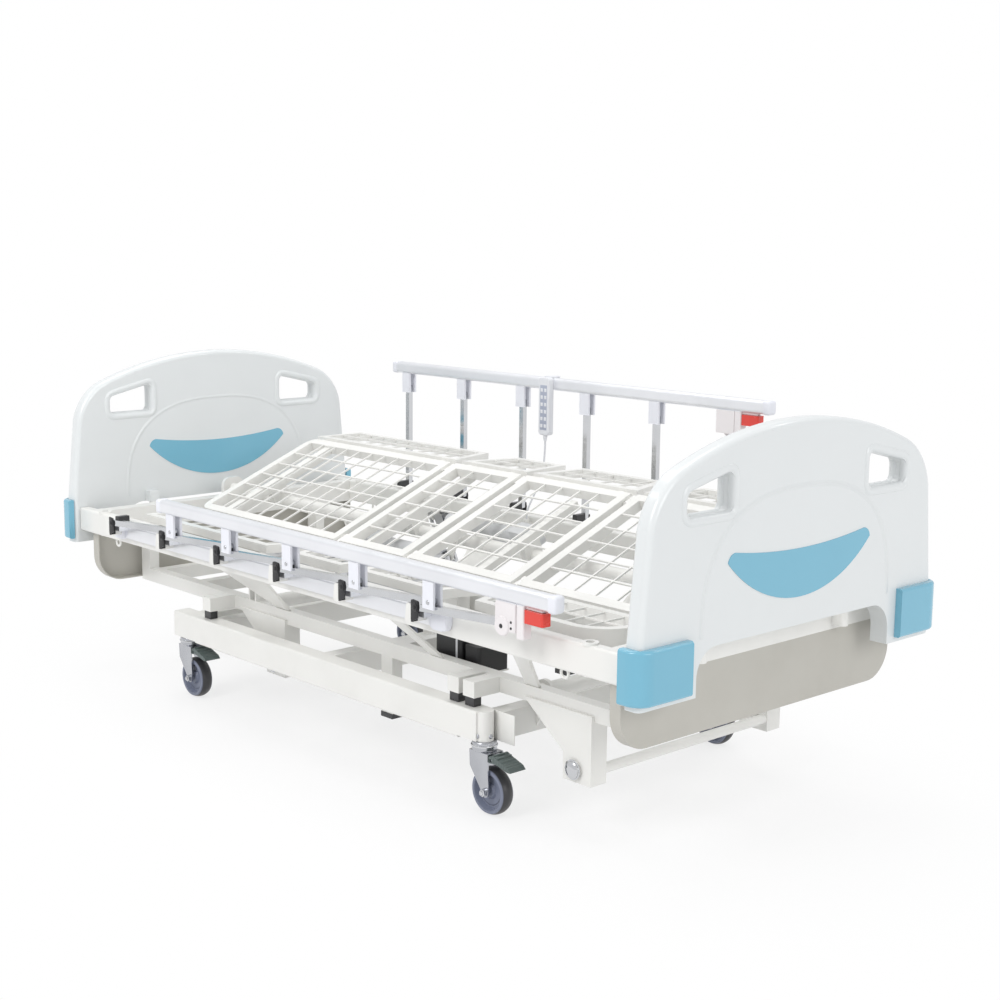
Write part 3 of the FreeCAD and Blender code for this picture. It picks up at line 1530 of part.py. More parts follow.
def latch_button(side, degrees):
    """Red release button that slides up along its guide under the handrail's end."""
    dx, dz = rail_shift(degrees)
    x = post_xs()[-1] + dx + latch_after + pillar_width + button_clear
    low = rail_pivot_z + dz + handrail_over_pivot
    y = side * rail_y
    half = handrail_depth / 2 - 2
    top = low - button_travel - button_clear
    end = x + button_length
    body = upright(box(x, end, y - half, y + half, top - button_height, top), 4)
    groove = box(x - 1, end - button_lip, y - 5 - button_clear, y + 5 + button_clear,
                 low - 5 - button_travel - 2 * button_clear, low)
    stem = box(end - button_stem, end - button_lip, y - half, y - 5 - 2 * button_clear, top - 1, top)
    return body.cut(groove).fuse(stem).removeSplitter()


# Handset and cord


def handset():
    """Keypad body with two hooks over the far handrail and its strain relief."""
    dx, dz = rail_shift(90)
    rail_top = rail_pivot_z + dz + handrail_over_pivot + handrail_height
    rail_in = rail_y - handrail_depth / 2
    back_y = rail_in - side_gap
    y0 = back_y - handset_thick
    half = handset_width / 2
    bottom = handset_top_z - handset_length
    body = box(handset_x - half, handset_x + half, y0, back_y, bottom, handset_top_z)
    edges = [e for e in body.Edges if e.BoundBox.YLength > 1]
    body = body.makeFillet(9, edges)
    front = [e for e in body.Edges if e.BoundBox.YMax < y0 + 0.01]
    body = body.makeFillet(3, front)
    hook_low = rail_top + side_gap
    hook_y = rail_y + handrail_depth / 2 + side_gap
    x0 = handset_x - hook_half_width
    x1 = handset_x + hook_half_width
    top = hook_low + hook_thick
    hook = [
        box(x0, x1, back_y - hook_thick, back_y, handset_top_z - 12, top),
        box(x0, x1, back_y - hook_thick, hook_y + hook_thick, hook_low, top),
        box(x0, x1, hook_y, hook_y + hook_thick, hook_low - hook_drop, top),
    ]
    x, y, z = cord_route()[0]
    start = Vector(x, y, z + running_fit)
    relief = Part.makeCone(relief_r - 1, relief_r + 2, bottom - start.z + 1, start, Vector(0, 0, 1))
    return fuse([body] + hook + [relief])


def cord_route():
    """Hand-set points of the cord, from the handset's strain relief to the bush on the far beam."""
    return [
        (-150.0, 473.5, 653.0),
        (-150.0, 473.0, 599.0),
        (-149.0, 455.0, 545.0),
        (-149.5, 427.0, 498.0),
        (-150.0, 410.0, 472.0),
        (-150.0, 407.0, 446.0),
    ]


def cord_path(points):
    """Straight runs joined by tangent arcs; returns the wire and the arcs' radii."""
    pts = [Vector(*p) for p in points]
    edges = []
    radii = []
    start = pts[0]
    for a, b, c in zip(pts, pts[1:], pts[2:]):
        back = (a - b).normalize()
        ahead = (c - b).normalize()
        cut = 0.45 * min(a.distanceToPoint(b), b.distanceToPoint(c))
        half_turn = (math.pi - back.getAngle(ahead)) / 2
        radius = cut / math.tan(half_turn)
        radii.append(radius)
        p0 = b + back * cut
        p1 = b + ahead * cut
        inward = (back + ahead).normalize()
        mid = b + inward * (radius / math.cos(half_turn) - radius)
        edges.append(Part.makeLine(start, p0))
        edges.append(Part.Arc(p0, mid, p1).toShape())
        start = p1
    edges.append(Part.makeLine(start, pts[-1]))
    return Part.Wire(edges), radii


def handset_cord():
    path, radii = cord_path(cord_route())
    first = path.Edges[0]
    ring = Part.Wire(Part.makeCircle(cord_d / 2, first.valueAt(first.FirstParameter),
                                     first.tangentAt(first.FirstParameter)))
    tube = path.makePipeShell([ring], True, False)
    expected = math.pi * (cord_d / 2) ** 2 * path.Length
    print("cord length", round(path.Length, 1), "radii", [round(r, 1) for r in radii],
          "volume ratio", round(tube.Volume / expected, 4))
    return tube


def export(name, shape):
    shape.exportStep("parts/" + name + ".step")


def build():
    os.makedirs("parts", exist_ok=True)
    nodes = {
        "base_frame": base_frame(),
        "lift_arms_head": lift_arms_head(),
        "lift_arms_foot": lift_arms_foot(),
        "hilo_actuator": hilo_actuator(),
        "hilo_rod": hilo_rod(),
        "upper_frame": upper_frame(),
        "lower_frame": lower_frame(),
        "aprons": aprons(),
        "control_box": control_box(),
        "turn_actuator": turn_actuator(),
        "turn_rod": turn_rod(),
        "foot_board": foot_board(),
        "head_board": endways(foot_board()),
        "foot_trim": foot_trim(),
        "head_trim": endways(foot_trim()),
        "back_section": back_section(),
        "seat_section": seat_section(),
        "thigh_section": thigh_section(),
        "leg_section": leg_section(),
        "back_actuator": back_actuator(),
        "back_rod": back_rod(),
        "knee_actuator": knee_actuator(),
        "knee_rod": knee_rod(),
        "rail_bases": rail_bases(),
        "near_handrail": handrail(-1, fold_deg()),
        "far_handrail": handrail(1, 90),
        "near_latch_button": latch_button(-1, fold_deg()),
        "far_latch_button": latch_button(1, 90),
        "handset": handset(),
        "handset_cord": handset_cord(),
    }
    for name, side in (("near", -1), ("far", 1)):
        for part in ("back", "seat", "thigh", "leg"):
            nodes[part + "_flap_" + name] = flap(part, side)
    for i, x in enumerate(post_xs()):
        nodes["near_post_" + str(i + 1)] = rail_post(x, -1, fold_deg())
        nodes["far_post_" + str(i + 1)] = rail_post(x, 1, 90)
    places = ("near_head", "near_foot", "far_head", "far_foot")
    for place, (x, y) in zip(places, castor_centres()):
        braked = place.startswith("near")
        nodes["castor_fork_" + place] = castor_fork(x, y, braked)
        nodes["castor_wheel_" + place] = castor_wheel(x, y)
        if braked:
            nodes["brake_pedal_" + place] = brake_pedal(x, y)
    for name, shape in nodes.items():
        export(name, shape)
        print(name, "solids", len(shape.Solids), "valid", shape.isValid(), "volume", round(shape.Volume))
    print(len(nodes), "nodes")


build()
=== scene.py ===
import json
import logging
import math
from dataclasses import dataclass
from enum import Enum
from typing import Callable, Sequence

import bmesh
import bpy
from mathutils import Matrix, Vector

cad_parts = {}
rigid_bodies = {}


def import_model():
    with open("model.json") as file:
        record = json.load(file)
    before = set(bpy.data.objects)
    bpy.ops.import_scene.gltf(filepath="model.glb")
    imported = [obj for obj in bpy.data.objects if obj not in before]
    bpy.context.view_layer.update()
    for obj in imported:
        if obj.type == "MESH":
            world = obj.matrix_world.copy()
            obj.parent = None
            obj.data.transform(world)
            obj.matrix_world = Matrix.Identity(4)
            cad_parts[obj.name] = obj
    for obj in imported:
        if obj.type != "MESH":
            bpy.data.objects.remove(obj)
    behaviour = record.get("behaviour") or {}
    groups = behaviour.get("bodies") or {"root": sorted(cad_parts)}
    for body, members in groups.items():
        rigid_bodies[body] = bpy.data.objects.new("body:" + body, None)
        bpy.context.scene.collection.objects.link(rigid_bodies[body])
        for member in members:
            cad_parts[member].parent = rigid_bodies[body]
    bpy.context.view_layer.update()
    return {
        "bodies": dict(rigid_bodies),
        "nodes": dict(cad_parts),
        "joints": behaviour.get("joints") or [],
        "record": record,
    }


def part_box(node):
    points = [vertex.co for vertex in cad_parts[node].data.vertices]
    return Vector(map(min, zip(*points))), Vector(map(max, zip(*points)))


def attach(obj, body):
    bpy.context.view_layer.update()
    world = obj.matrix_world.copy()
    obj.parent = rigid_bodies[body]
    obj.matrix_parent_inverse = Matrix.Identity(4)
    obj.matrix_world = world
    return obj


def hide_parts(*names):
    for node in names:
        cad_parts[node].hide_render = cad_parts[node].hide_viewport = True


log = logging.getLogger("care_bed")

Pair = tuple[float, float]
Triple = tuple[float, float, float]
Colour = tuple[float, float, float]
Mesh = bmesh.types.BMesh
Build = Callable[[Mesh], None]

PATCH_SCALE = 7.0
PATCH_RANGE = (0.35, 0.72)
WANDER_SCALE = 38.0
SOFT_DETAIL = 3.0
COAT_ROUGHNESS = 0.12
CREASE_DEGREES = 38.0
POINT_RADIUS = 1e-6
UPRIGHT = 0.2
DOME_ANGLES = (0.0, 0.4, 0.8, 1.2)
DOME_WALL = 0.45
PIN_HALF = 0.0075
POST_FACE = 0.0073
RAIL_Y = 0.497
BAR_OVER = 0.004
BLACK_PAINT = (0.03, 0.03, 0.032)
METAL_SHARE = 0.75
CASTOR_TRAIL = 0.027
LIT_POINT = (0.0, 0.0, 0.4)
AXLE_NUT = ((0.0, -0.001), (0.0085, -0.001), (0.0085, 0.0035), (0.0055, 0.0045), (0.005, 0.007),
            (0.0, 0.0075))
RACEWAY = ((0.0270, -0.0028), (0.0288, -0.0018), (0.0292, 0.0), (0.0288, 0.0018), (0.0270, 0.0028))
LIFT_BOLT = ((0.0, 0.0), (0.0215, 0.0), (0.0215, 0.0018), (0.0190, 0.0024), (0.0185, 0.0055),
             (0.0140, 0.0088), (0.0075, 0.0104), (0.0, 0.0108))
HINGE_NUT = ((0.0, 0.0), (0.0068, 0.0), (0.0068, 0.0038), (0.0042, 0.0048), (0.0, 0.0052))
LATCH_LOBE = ((0.0, 0.0), (0.0200, 0.0), (0.0200, 0.0030), (0.0184, 0.0048), (0.0, 0.0052))


class Axis(Enum):
    """The row frame's axes, as unit vectors."""

    X = (1.0, 0.0, 0.0)
    Y = (0.0, 1.0, 0.0)
    Z = (0.0, 0.0, 1.0)

    @property
    def vector(self) -> Vector:
        """The axis as a vector."""
        return Vector(self.value)

    @property
    def index(self) -> int:
        """Place of the axis among X, Y and Z."""
        return self.value.index(1.0)


class Named(Enum):
    """Values whose names are used in the names of nodes."""

    @property
    def word(self) -> str:
        """Its name as it stands in the names of nodes."""
        return self.name.lower()


class Side(Named):
    """The two long sides of the bed."""

    NEAR = -1
    FAR = 1

    @property
    def out(self) -> Vector:
        """Unit vector away from the middle of the bed."""
        return Axis.Y.vector * self.value


class End(Named):
    """The two ends of the bed."""

    HEAD = -1
    FOOT = 1


def math_node(operation: str) -> Callable[..., "Sock"]:
    """Makes a method of Sock out of a math node.

    Args:
        operation: the node's operation.

    Returns:
        The method.
    """

    def method(self: "Sock", *others: "Sock | float") -> "Sock":
        """Adds the node to the tree.

        Args:
            others: its other inputs, in order.

        Returns:
            The node's result.
        """
        node = self.tree.nodes.new("ShaderNodeMath")
        node.operation = operation
        self.tree.links.new(self.socket, node.inputs[0])
        for place, other in enumerate(others, start=1):
            if isinstance(other, Sock):
                self.tree.links.new(other.socket, node.inputs[place])
            else:
                node.inputs[place].default_value = other
        return Sock(self.tree, node.outputs[0])

    return method


class Sock:
    """A shader socket with arithmetic, so that a material reads as a formula."""

    __add__ = __radd__ = math_node("ADD")
    __sub__ = math_node("SUBTRACT")
    __mul__ = __rmul__ = math_node("MULTIPLY")
    __truediv__ = math_node("DIVIDE")
    __pow__ = math_node("POWER")
    __gt__ = math_node("GREATER_THAN")
    __lt__ = math_node("LESS_THAN")
    __abs__ = math_node("ABSOLUTE")
    root = math_node("SQRT")
    part = math_node("FRACT")
    at_least = math_node("MAXIMUM")
    at_most = math_node("MINIMUM")

    def __init__(self, tree: bpy.types.NodeTree, socket: bpy.types.NodeSocket) -> None:
        """Holds a socket and the tree that it is in."""
        self.tree = tree
        self.socket = socket

    def __rsub__(self, other: float) -> "Sock":
        """Difference from a number."""
        return self * -1.0 + other

    def clamp(self) -> "Sock":
        """The value held between 0 and 1."""
        return self.at_least(0.0).at_most(1.0)

    def ramp(self, low: float, high: float) -> "Sock":
        """Rises smoothly from 0 at low to 1 at high.

        Args:
            low: the value that gives 0.
            high: the value that gives 1.

        Returns:
            The eased value.
        """
        t = ((self - low) * (1.0 / (high - low))).clamp()
        return t * t * (3.0 - 2.0 * t)

    def near(self, value: float, width: float) -> "Sock":
        """1 at the value, falling to 0 a width away from it.

        Args:
            value: the middle of the band.
            width: half the band's width.

        Returns:
            The share of the band.
        """
        return (1.0 - abs(self - value) / width).clamp()


class Graph:
    """A node tree whose nodes all come from one method."""

    def __init__(self, tree: bpy.types.NodeTree) -> None:
        """Holds the tree."""
        self.tree = tree

    def node(self, kind: str, settings: dict | None = None, inputs: dict | None = None) -> bpy.types.Node:
        """Adds a node, sets its properties and feeds its inputs.

        Args:
            kind: the node's type.
            settings: the node's own properties.
            inputs: values, sockets or node outputs, by the input's name or place.

        Returns:
            The new node.
        """
        node = self.tree.nodes.new(kind)
        for key, value in (settings or {}).items():
            setattr(node, key, value)
        for key, value in (inputs or {}).items():
            self.feed(node.inputs[key], value)
        return node

    def feed(self, target: bpy.types.NodeSocket, value: "Sock | bpy.types.NodeSocket | float") -> None:
        """Links a socket to the target, or sets a plain value on it.

        Args:
            target: the input.
            value: what goes into it.
        """
        if isinstance(value, Sock):
            self.tree.links.new(value.socket, target)
        elif isinstance(value, bpy.types.NodeSocket):
            self.tree.links.new(value, target)
        else:
            target.default_value = value

    def rays(self, *kinds: str) -> list[Sock]:
        """Which kind of ray it is that looks.

        Args:
            kinds: kinds of ray.

        Returns:
            For each kind, a value that is 1 for it, or else 0.
        """
        path = self.node("ShaderNodeLightPath")
        return [self.wrap(path, "Is %s Ray" % kind) for kind in kinds]

    def wrap(self, node: bpy.types.Node, output: str | int = 0) -> Sock:
        """One of a node's outputs, with operators."""
        return Sock(self.tree, node.outputs[output])


class Shader(Graph):
    """A node material on a Principled shader, in the row frame's coordinates."""

    def __init__(self, name: str) -> None:
        """Starts an empty material.

        Args:
            name: the material's name.
        """
        self.material = bpy.data.materials.new(name)
        self.material.use_nodes = True
        super().__init__(self.material.node_tree)
        self.bsdf = self.tree.nodes["Principled BSDF"]
        self._axes: list[Sock] | None = None

    @property
    def place(self) -> Sock:
        """The point on the surface, in the row frame at rest."""
        return self.wrap(self.node("ShaderNodeTexCoord"), "Object")

    def axes(self) -> list[Sock]:
        """Splits the surface point once.

        Returns:
            The point's X, Y and Z.
        """
        if self._axes is None:
            split = self.node("ShaderNodeSeparateXYZ", inputs={"Vector": self.place})
            self._axes = [self.wrap(split, i) for i in range(3)]
        return self._axes

    def distance(self, centre: Sequence[float], around: Axis) -> Sock:
        """Distance of the surface point from a line.

        Args:
            centre: a point on the line.
            around: the line's direction.

        Returns:
            The distance in metres.
        """
        total: Sock | None = None
        for i, value in enumerate(self.axes()):
            if i == around.index:
                continue
            square = (value - centre[i]) ** 2.0
            total = square if total is None else total + square
        return total.root()

    def noise(self, scale: float, detail: float = 2.0, stretch: Triple = (1.0, 1.0, 1.0)) -> Sock:
        """Fractal noise in the row frame, from 0 to 1.

        Args:
            scale: cells per metre.
            detail: octaves.
            stretch: factor on each axis, small along a grain.

        Returns:
            The noise.
        """
        spot = self.node("ShaderNodeMapping", inputs={"Vector": self.place, "Scale": stretch})
        grain = self.node("ShaderNodeTexNoise",
                          inputs={"Vector": self.wrap(spot), "Scale": scale, "Detail": detail})
        return self.wrap(grain, 0)

    def blend(self, factor: Sock, low: "Sock | Colour", high: "Sock | Colour") -> Sock:
        """A colour between two, by a factor.

        Args:
            factor: 0 gives the first, 1 the second.
            low: the first colour.
            high: the second colour.

        Returns:
            The blended colour.
        """
        ends = [value if isinstance(value, Sock) else (*value, 1.0) for value in (low, high)]
        mix = self.node("ShaderNodeMix", {"data_type": "RGBA"}, {0: factor, 6: ends[0], 7: ends[1]})
        return self.wrap(mix, 2)

    @property
    def base(self) -> Sock:
        """What feeds the base colour so far."""
        return Sock(self.tree, self.bsdf.inputs["Base Color"].links[0].from_socket)

    def colour(self, value: "Sock | Colour") -> None:
        """Sets what the base colour is."""
        self.feed(self.bsdf.inputs["Base Color"], value if isinstance(value, Sock) else (*value, 1.0))

    def relief(self, height: Sock, depth: float) -> None:
        """Bumps the surface, on top of any relief that is already there.

        Args:
            height: from 0 to 1.
            depth: metres for a height of 1.
        """
        target = self.bsdf.inputs["Normal"]
        inputs = {"Height": height, "Distance": depth, "Strength": 1.0}
        if target.links:
            inputs["Normal"] = target.links[0].from_socket
        self.feed(target, self.wrap(self.node("ShaderNodeBump", inputs=inputs)))

    def steady(self, **values: float) -> None:
        """Sets constants on the shader's own sockets."""
        for key, value in values.items():
            self.bsdf.inputs[key.replace("_", " ")].default_value = value


@dataclass(frozen=True)
class Finish:
    """How one family of surfaces looks.

    Args:
        name: the material's name.
        colour: its main colour, linear.
        shade: its darker patches.
        rough: mean roughness.
        rough_range: how far the roughness wanders.
        metallic: 0 or 1.
        coat: clear coat weight.
        grain: relief cells per metre.
        grain_depth: relief depth in metres.
        stretch: the grain's stretch on each axis.
    """

    name: str
    colour: Colour
    shade: Colour
    rough: float
    rough_range: float = 0.08
    metallic: float = 0.0
    coat: float = 0.0
    grain: float = 900.0
    grain_depth: float = 0.00006
    stretch: Triple = (1.0, 1.0, 1.0)

    def shader(self, name: str = "") -> Shader:
        """Starts a material with this finish all over.

        Args:
            name: the material's name where it isn't the finish's own.

        Returns:
            The material, open for further work.
        """
        made = Shader(name or self.name)
        patches = made.noise(PATCH_SCALE, SOFT_DETAIL).ramp(*PATCH_RANGE)
        made.colour(made.blend(patches, self.colour, self.shade))
        wander = made.noise(WANDER_SCALE, SOFT_DETAIL) - 0.5
        made.feed(made.bsdf.inputs["Roughness"], wander * (2.0 * self.rough_range) + self.rough)
        made.relief(made.noise(self.grain, 2.0, self.stretch), self.grain_depth)
        made.steady(Metallic=self.metallic, Coat_Weight=self.coat, Coat_Roughness=COAT_ROUGHNESS)
        return made


class Look(Enum):
    """The finishes that the bed shows."""

    POWDER = Finish("powder_white", (0.81, 0.805, 0.775), (0.77, 0.765, 0.735), 0.34, coat=0.25,
                    grain=1400.0, grain_depth=0.00004)
    BOARD = Finish("board_plastic", (0.715, 0.738, 0.740), (0.708, 0.731, 0.733), 0.28, rough_range=0.01,
                   coat=0.45, grain=300.0, grain_depth=0.000002)
    BLUE = Finish("sky_blue_plastic", (0.165, 0.440, 0.580), (0.160, 0.430, 0.570), 0.22, rough_range=0.01,
                  coat=0.6, grain=300.0, grain_depth=0.000002)
    APRON = Finish("apron_sheet", (0.50, 0.485, 0.44), (0.475, 0.46, 0.415), 0.48,
                   grain=700.0, grain_depth=0.00005)
    ZINC = Finish("zinc_plate", (0.52, 0.53, 0.56), (0.42, 0.43, 0.46), 0.24, metallic=1.0,
                  grain=500.0, grain_depth=0.00004)
    CHROME = Finish("polished_steel", (0.62, 0.63, 0.65), (0.54, 0.55, 0.57), 0.12, rough_range=0.05,
                    metallic=1.0, grain=900.0, grain_depth=0.00001)
    ALUMINIUM = Finish("brushed_aluminium", (0.86, 0.87, 0.90), (0.81, 0.82, 0.85), 0.34, metallic=0.75,
                       grain=900.0, grain_depth=0.00003, stretch=(0.03, 1.0, 1.0))
    SOCKET = Finish("lavender_plastic", (0.79, 0.80, 0.85), (0.76, 0.77, 0.82), 0.40,
                    grain=800.0, grain_depth=0.00003)
    LATCH = Finish("latch_plastic", (0.80, 0.765, 0.77), (0.77, 0.735, 0.74), 0.36, coat=0.15,
                   grain=800.0, grain_depth=0.00003)
    BLACK = Finish("black_plastic", (0.022, 0.022, 0.024), (0.016, 0.016, 0.018), 0.42,
                   grain=1600.0, grain_depth=0.00012)
    PEDAL = Finish("pedal_plastic", (0.105, 0.135, 0.13), (0.09, 0.115, 0.11), 0.42,
                   grain=700.0, grain_depth=0.00005)
    RED = Finish("red_plastic", (0.72, 0.035, 0.02), (0.66, 0.03, 0.018), 0.25, coat=0.5,
                 grain=600.0, grain_depth=0.00002)
    TYRE = Finish("wheel_rubber", (0.185, 0.205, 0.275), (0.165, 0.185, 0.25), 0.38,
                  grain=900.0, grain_depth=0.00004)
    DRIVE = Finish("drive_plastic", (0.62, 0.63, 0.64), (0.58, 0.59, 0.60), 0.45,
                   grain=900.0, grain_depth=0.00008)
    HANDSET = Finish("handset_plastic", (0.76, 0.77, 0.80), (0.73, 0.74, 0.77), 0.36, coat=0.1,
                     grain=1100.0, grain_depth=0.00005)
    KEYS = Finish("soft_keys", (0.42, 0.45, 0.54), (0.38, 0.41, 0.50), 0.55,
                  grain=1500.0, grain_depth=0.00005)
    SHEATH = Finish("cord_sheath", (0.66, 0.67, 0.70), (0.62, 0.63, 0.66), 0.50,
                    grain=1800.0, grain_depth=0.00005)


class Paints:
    """Keeps one material for each finish."""

    def __init__(self) -> None:
        """Starts with no materials."""
        self._made: dict[Look, bpy.types.Material] = {}

    def __getitem__(self, look: Look) -> bpy.types.Material:
        """The material of a finish, made when it is first asked for.

        Args:
            look: the finish.

        Returns:
            Its material.
        """
        if look not in self._made:
            self._made[look] = look.value.shader().material
        return self._made[look]


def linked(name: str, data: bpy.types.ID) -> bpy.types.Object:
    """Puts a new object into the scene.

    Args:
        name: its name.
        data: its mesh, curve, light or camera.

    Returns:
        The object.
    """
    made = bpy.data.objects.new(name, data)
    bpy.context.scene.collection.objects.link(made)
    return made


@dataclass
class Workshop:
    """Makes pieces in the row frame and hangs them on bodies.

    Args:
        frame: the loaded frame.
        paints: the materials.
    """

    frame: dict
    paints: Paints

    def place(self, name: str, build: Build, look: Look, body: str, slot: str) -> bpy.types.Object:
        """Makes one piece and hangs it on its body.

        Args:
            name: the piece's name.
            build: fills an empty bmesh in row coordinates.
            look: its finish.
            body: the CAD body that it moves with.
            slot: the record's slot; not used.

        Returns:
            The new object.
        """
        shape = bmesh.new()
        build(shape)
        mesh = bpy.data.meshes.new(name)
        bmesh.ops.recalc_face_normals(shape, faces=shape.faces)
        for face in shape.faces:
            face.smooth = True
        shape.to_mesh(mesh)
        shape.free()
        mesh.materials.append(self.paints[look])
        piece = linked(name, mesh)
        self._crisp(piece)
        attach(piece, body)
        log.info("piece %s on %s", name, body)
        return piece

    def dress(self, node: str, paint: Look | Shader) -> None:
        """Gives a CAD node its material.

        Args:
            node: the node's name.
            paint: a finish, or a material made for this node.
        """
        material = self.paints[paint] if isinstance(paint, Look) else paint.material
        obj = self.frame["nodes"][node]
        if not obj.material_slots:
            obj.data.materials.append(material)
        for place in obj.material_slots:
            place.material = material

    @staticmethod
    def _crisp(piece: bpy.types.Object) -> None:
        """Keeps hard edges hard under smooth shading."""
        for edge in piece.data.edges:
            edge.use_edge_sharp = False
        piece.data.set_sharp_from_angle(angle=math.radians(CREASE_DEGREES))


def form(add: Callable[..., None]) -> Callable[..., Build]:
    """Turns a function that adds a form into one that is given the form's measures first.

    Args:
        add: takes a bmesh, and then the measures.

    Returns:
        A function of the measures, which returns a build function.
    """

    def measured(*args: object, **named: object) -> Build:
        """Holds the measures until there is a bmesh."""
        return lambda shape: add(shape, *args, **named)

    return measured


@form
def block(shape: Mesh, low: Sequence[float], high: Sequence[float], round_by: float, steps: int = 3) -> None:
    """Adds a bevelled block between two corners.

    Args:
        shape: what it is added to.
        low: lowest corner.
        high: highest corner.
        round_by: radius of its edges.
        steps: segments in each rounding.
    """
    middle = (Vector(low) + Vector(high)) / 2
    size = Vector(high) - Vector(low)
    stretch = Matrix.Translation(middle) @ Matrix.Diagonal((*size, 1.0))
    made = bmesh.ops.create_cube(shape, size=1.0, matrix=stretch)
    edges = {e for v in made["verts"] for e in v.link_edges}
    if round_by > 0:
        bmesh.ops.bevel(shape, geom=list(edges), offset=round_by, segments=steps, profile=0.5, affect="EDGES")


@form
def lathe(shape: Mesh, profile: Sequence[Pair], start: Sequence[float], way: Vector, steps: int = 28) -> None:
    """Adds a turned form about an axis.

    Args:
        shape: what it is added to.
        profile: pairs of radius and height along the axis.
        start: where height 0 is.
        way: the axis.
        steps: segments round it.
    """
    along = Vector(way).normalized()
    side = along.orthogonal().normalized()
    other = along.cross(side)
    rings = []
    for radius, height in profile:
        ring = []
        for i in range(steps if radius > POINT_RADIUS else 1):
            turn = 2 * math.pi * i / steps
            spoke = side * math.cos(turn) + other * math.sin(turn)
            ring.append(shape.verts.new(Vector(start) + along * height + spoke * radius))
        rings.append(ring)
    for a, b in zip(rings, rings[1:]):
        for i in range(steps):
            j = (i + 1) % steps
            corners = [a[i % len(a)], a[j % len(a)], b[j % len(b)], b[i % len(b)]]
            unique = list(dict.fromkeys(corners))
            if len(unique) > 2:
                shape.faces.new(unique)


@form
def loop_tube(shape: Mesh, points: Sequence[Vector], radius: float, steps: int = 8) -> None:
    """Adds a round bead along a closed line of points.

    Args:
        shape: what it is added to.
        points: the line.
        radius: the bead's radius.
        steps: segments round it.
    """
    rings = []
    for i, here in enumerate(points):
        along = (points[(i + 1) % len(points)] - points[i - 1]).normalized()
        side = along.cross(Axis.X.vector)
        side = (side if side.length > UPRIGHT else along.cross(Axis.Z.vector)).normalized()
        other = along.cross(side)
        ring = []
        for k in range(steps):
            turn = 2 * math.pi * k / steps
            spoke = (side * math.cos(turn) + other * math.sin(turn)) * radius
            ring.append(shape.verts.new(here + spoke))
        rings.append(ring)
    for a, b in zip(rings, rings[1:] + rings[:1]):
        for k in range(steps):
            j = (k + 1) % steps
            shape.faces.new([a[k], a[j], b[j], b[k]])


@form
def together(shape: Mesh, *builds: Build) -> None:
    """Adds several forms in order.

    Args:
        shape: what they are added to.
        builds: their build functions.
    """
    for build in builds:
        build(shape)


@form
def plate(shape: Mesh, outline: Sequence[Pair], y0: float, y1: float, round_by: float = 0.0) -> None:
    """Adds a flat plate with an outline in XZ.

    Args:
        shape: what it is added to.
        outline: its corners.
        y0: one face.
        y1: the other face.
        round_by: radius round both faces' edges.
    """
    rings = [[shape.verts.new((x, y, z)) for x, z in outline] for y in (y0, y1)]
    faces = [shape.faces.new(rings[0]), shape.faces.new(rings[1][::-1])]
    for i in range(len(outline)):
        j = (i + 1) % len(outline)
        shape.faces.new([rings[0][i], rings[0][j], rings[1][j], rings[1][i]])
    rim = list({edge for face in faces for edge in face.edges})
    if round_by > 0:
        bmesh.ops.bevel(shape, geom=rim, offset=round_by, segments=3, profile=0.5, affect="EDGES")


def dome(radius: float, height: float) -> list[Pair]:
    """Profile of a domed bolt head.

    Args:
        radius: its widest.
        height: from its seat to its crown.

    Returns:
        Pairs of radius and height.
    """
    bulge = 1.0 - DOME_WALL
    rise = [(radius * math.cos(a), height * (DOME_WALL + bulge * math.sin(a))) for a in DOME_ANGLES]
    return [(0.0, 0.0), (radius, 0.0), *rise, (0.0, height)]


def rounded(corners: Sequence[Pair], radius: float, steps: int = 6) -> list[Pair]:
    """A polygon with its corners rounded.

    Args:
        corners: the polygon.
        radius: the corners' radius.
        steps: points in each corner.

    Returns:
        The points in order.
    """
    points = []
    count = len(corners)
    for i in range(count):
        here = Vector(corners[i])
        before = (Vector(corners[i - 1]) - here).normalized()
        after = (Vector(corners[(i + 1) % count]) - here).normalized()
        reach = radius / math.tan(before.angle(after) / 2)
        start = here + before * reach
        end = here + after * reach
        for k in range(steps + 1):
            t = k / steps
            spot = start * (1 - t) ** 2 + here * 2 * t * (1 - t) + end * t * t
            points.append((spot.x, spot.y))
    return points


@dataclass(frozen=True)
class Lamp:
    """A square light that faces the middle of the bed.

    Args:
        name: its name.
        at: its place.
        power: watts.
        size: its side in metres.
    """

    name: str
    at: Triple
    power: float
    size: float

    def hang(self) -> None:
        """Adds the light to the scene."""
        data = bpy.data.lights.new(self.name, "AREA")
        data.energy = self.power
        data.size = self.size
        aim = Vector(LIT_POINT) - Vector(self.at)
        turn = aim.to_track_quat("-Z", "Y").to_matrix().to_4x4()
        linked(self.name, data).matrix_world = Matrix.Translation(self.at) @ turn


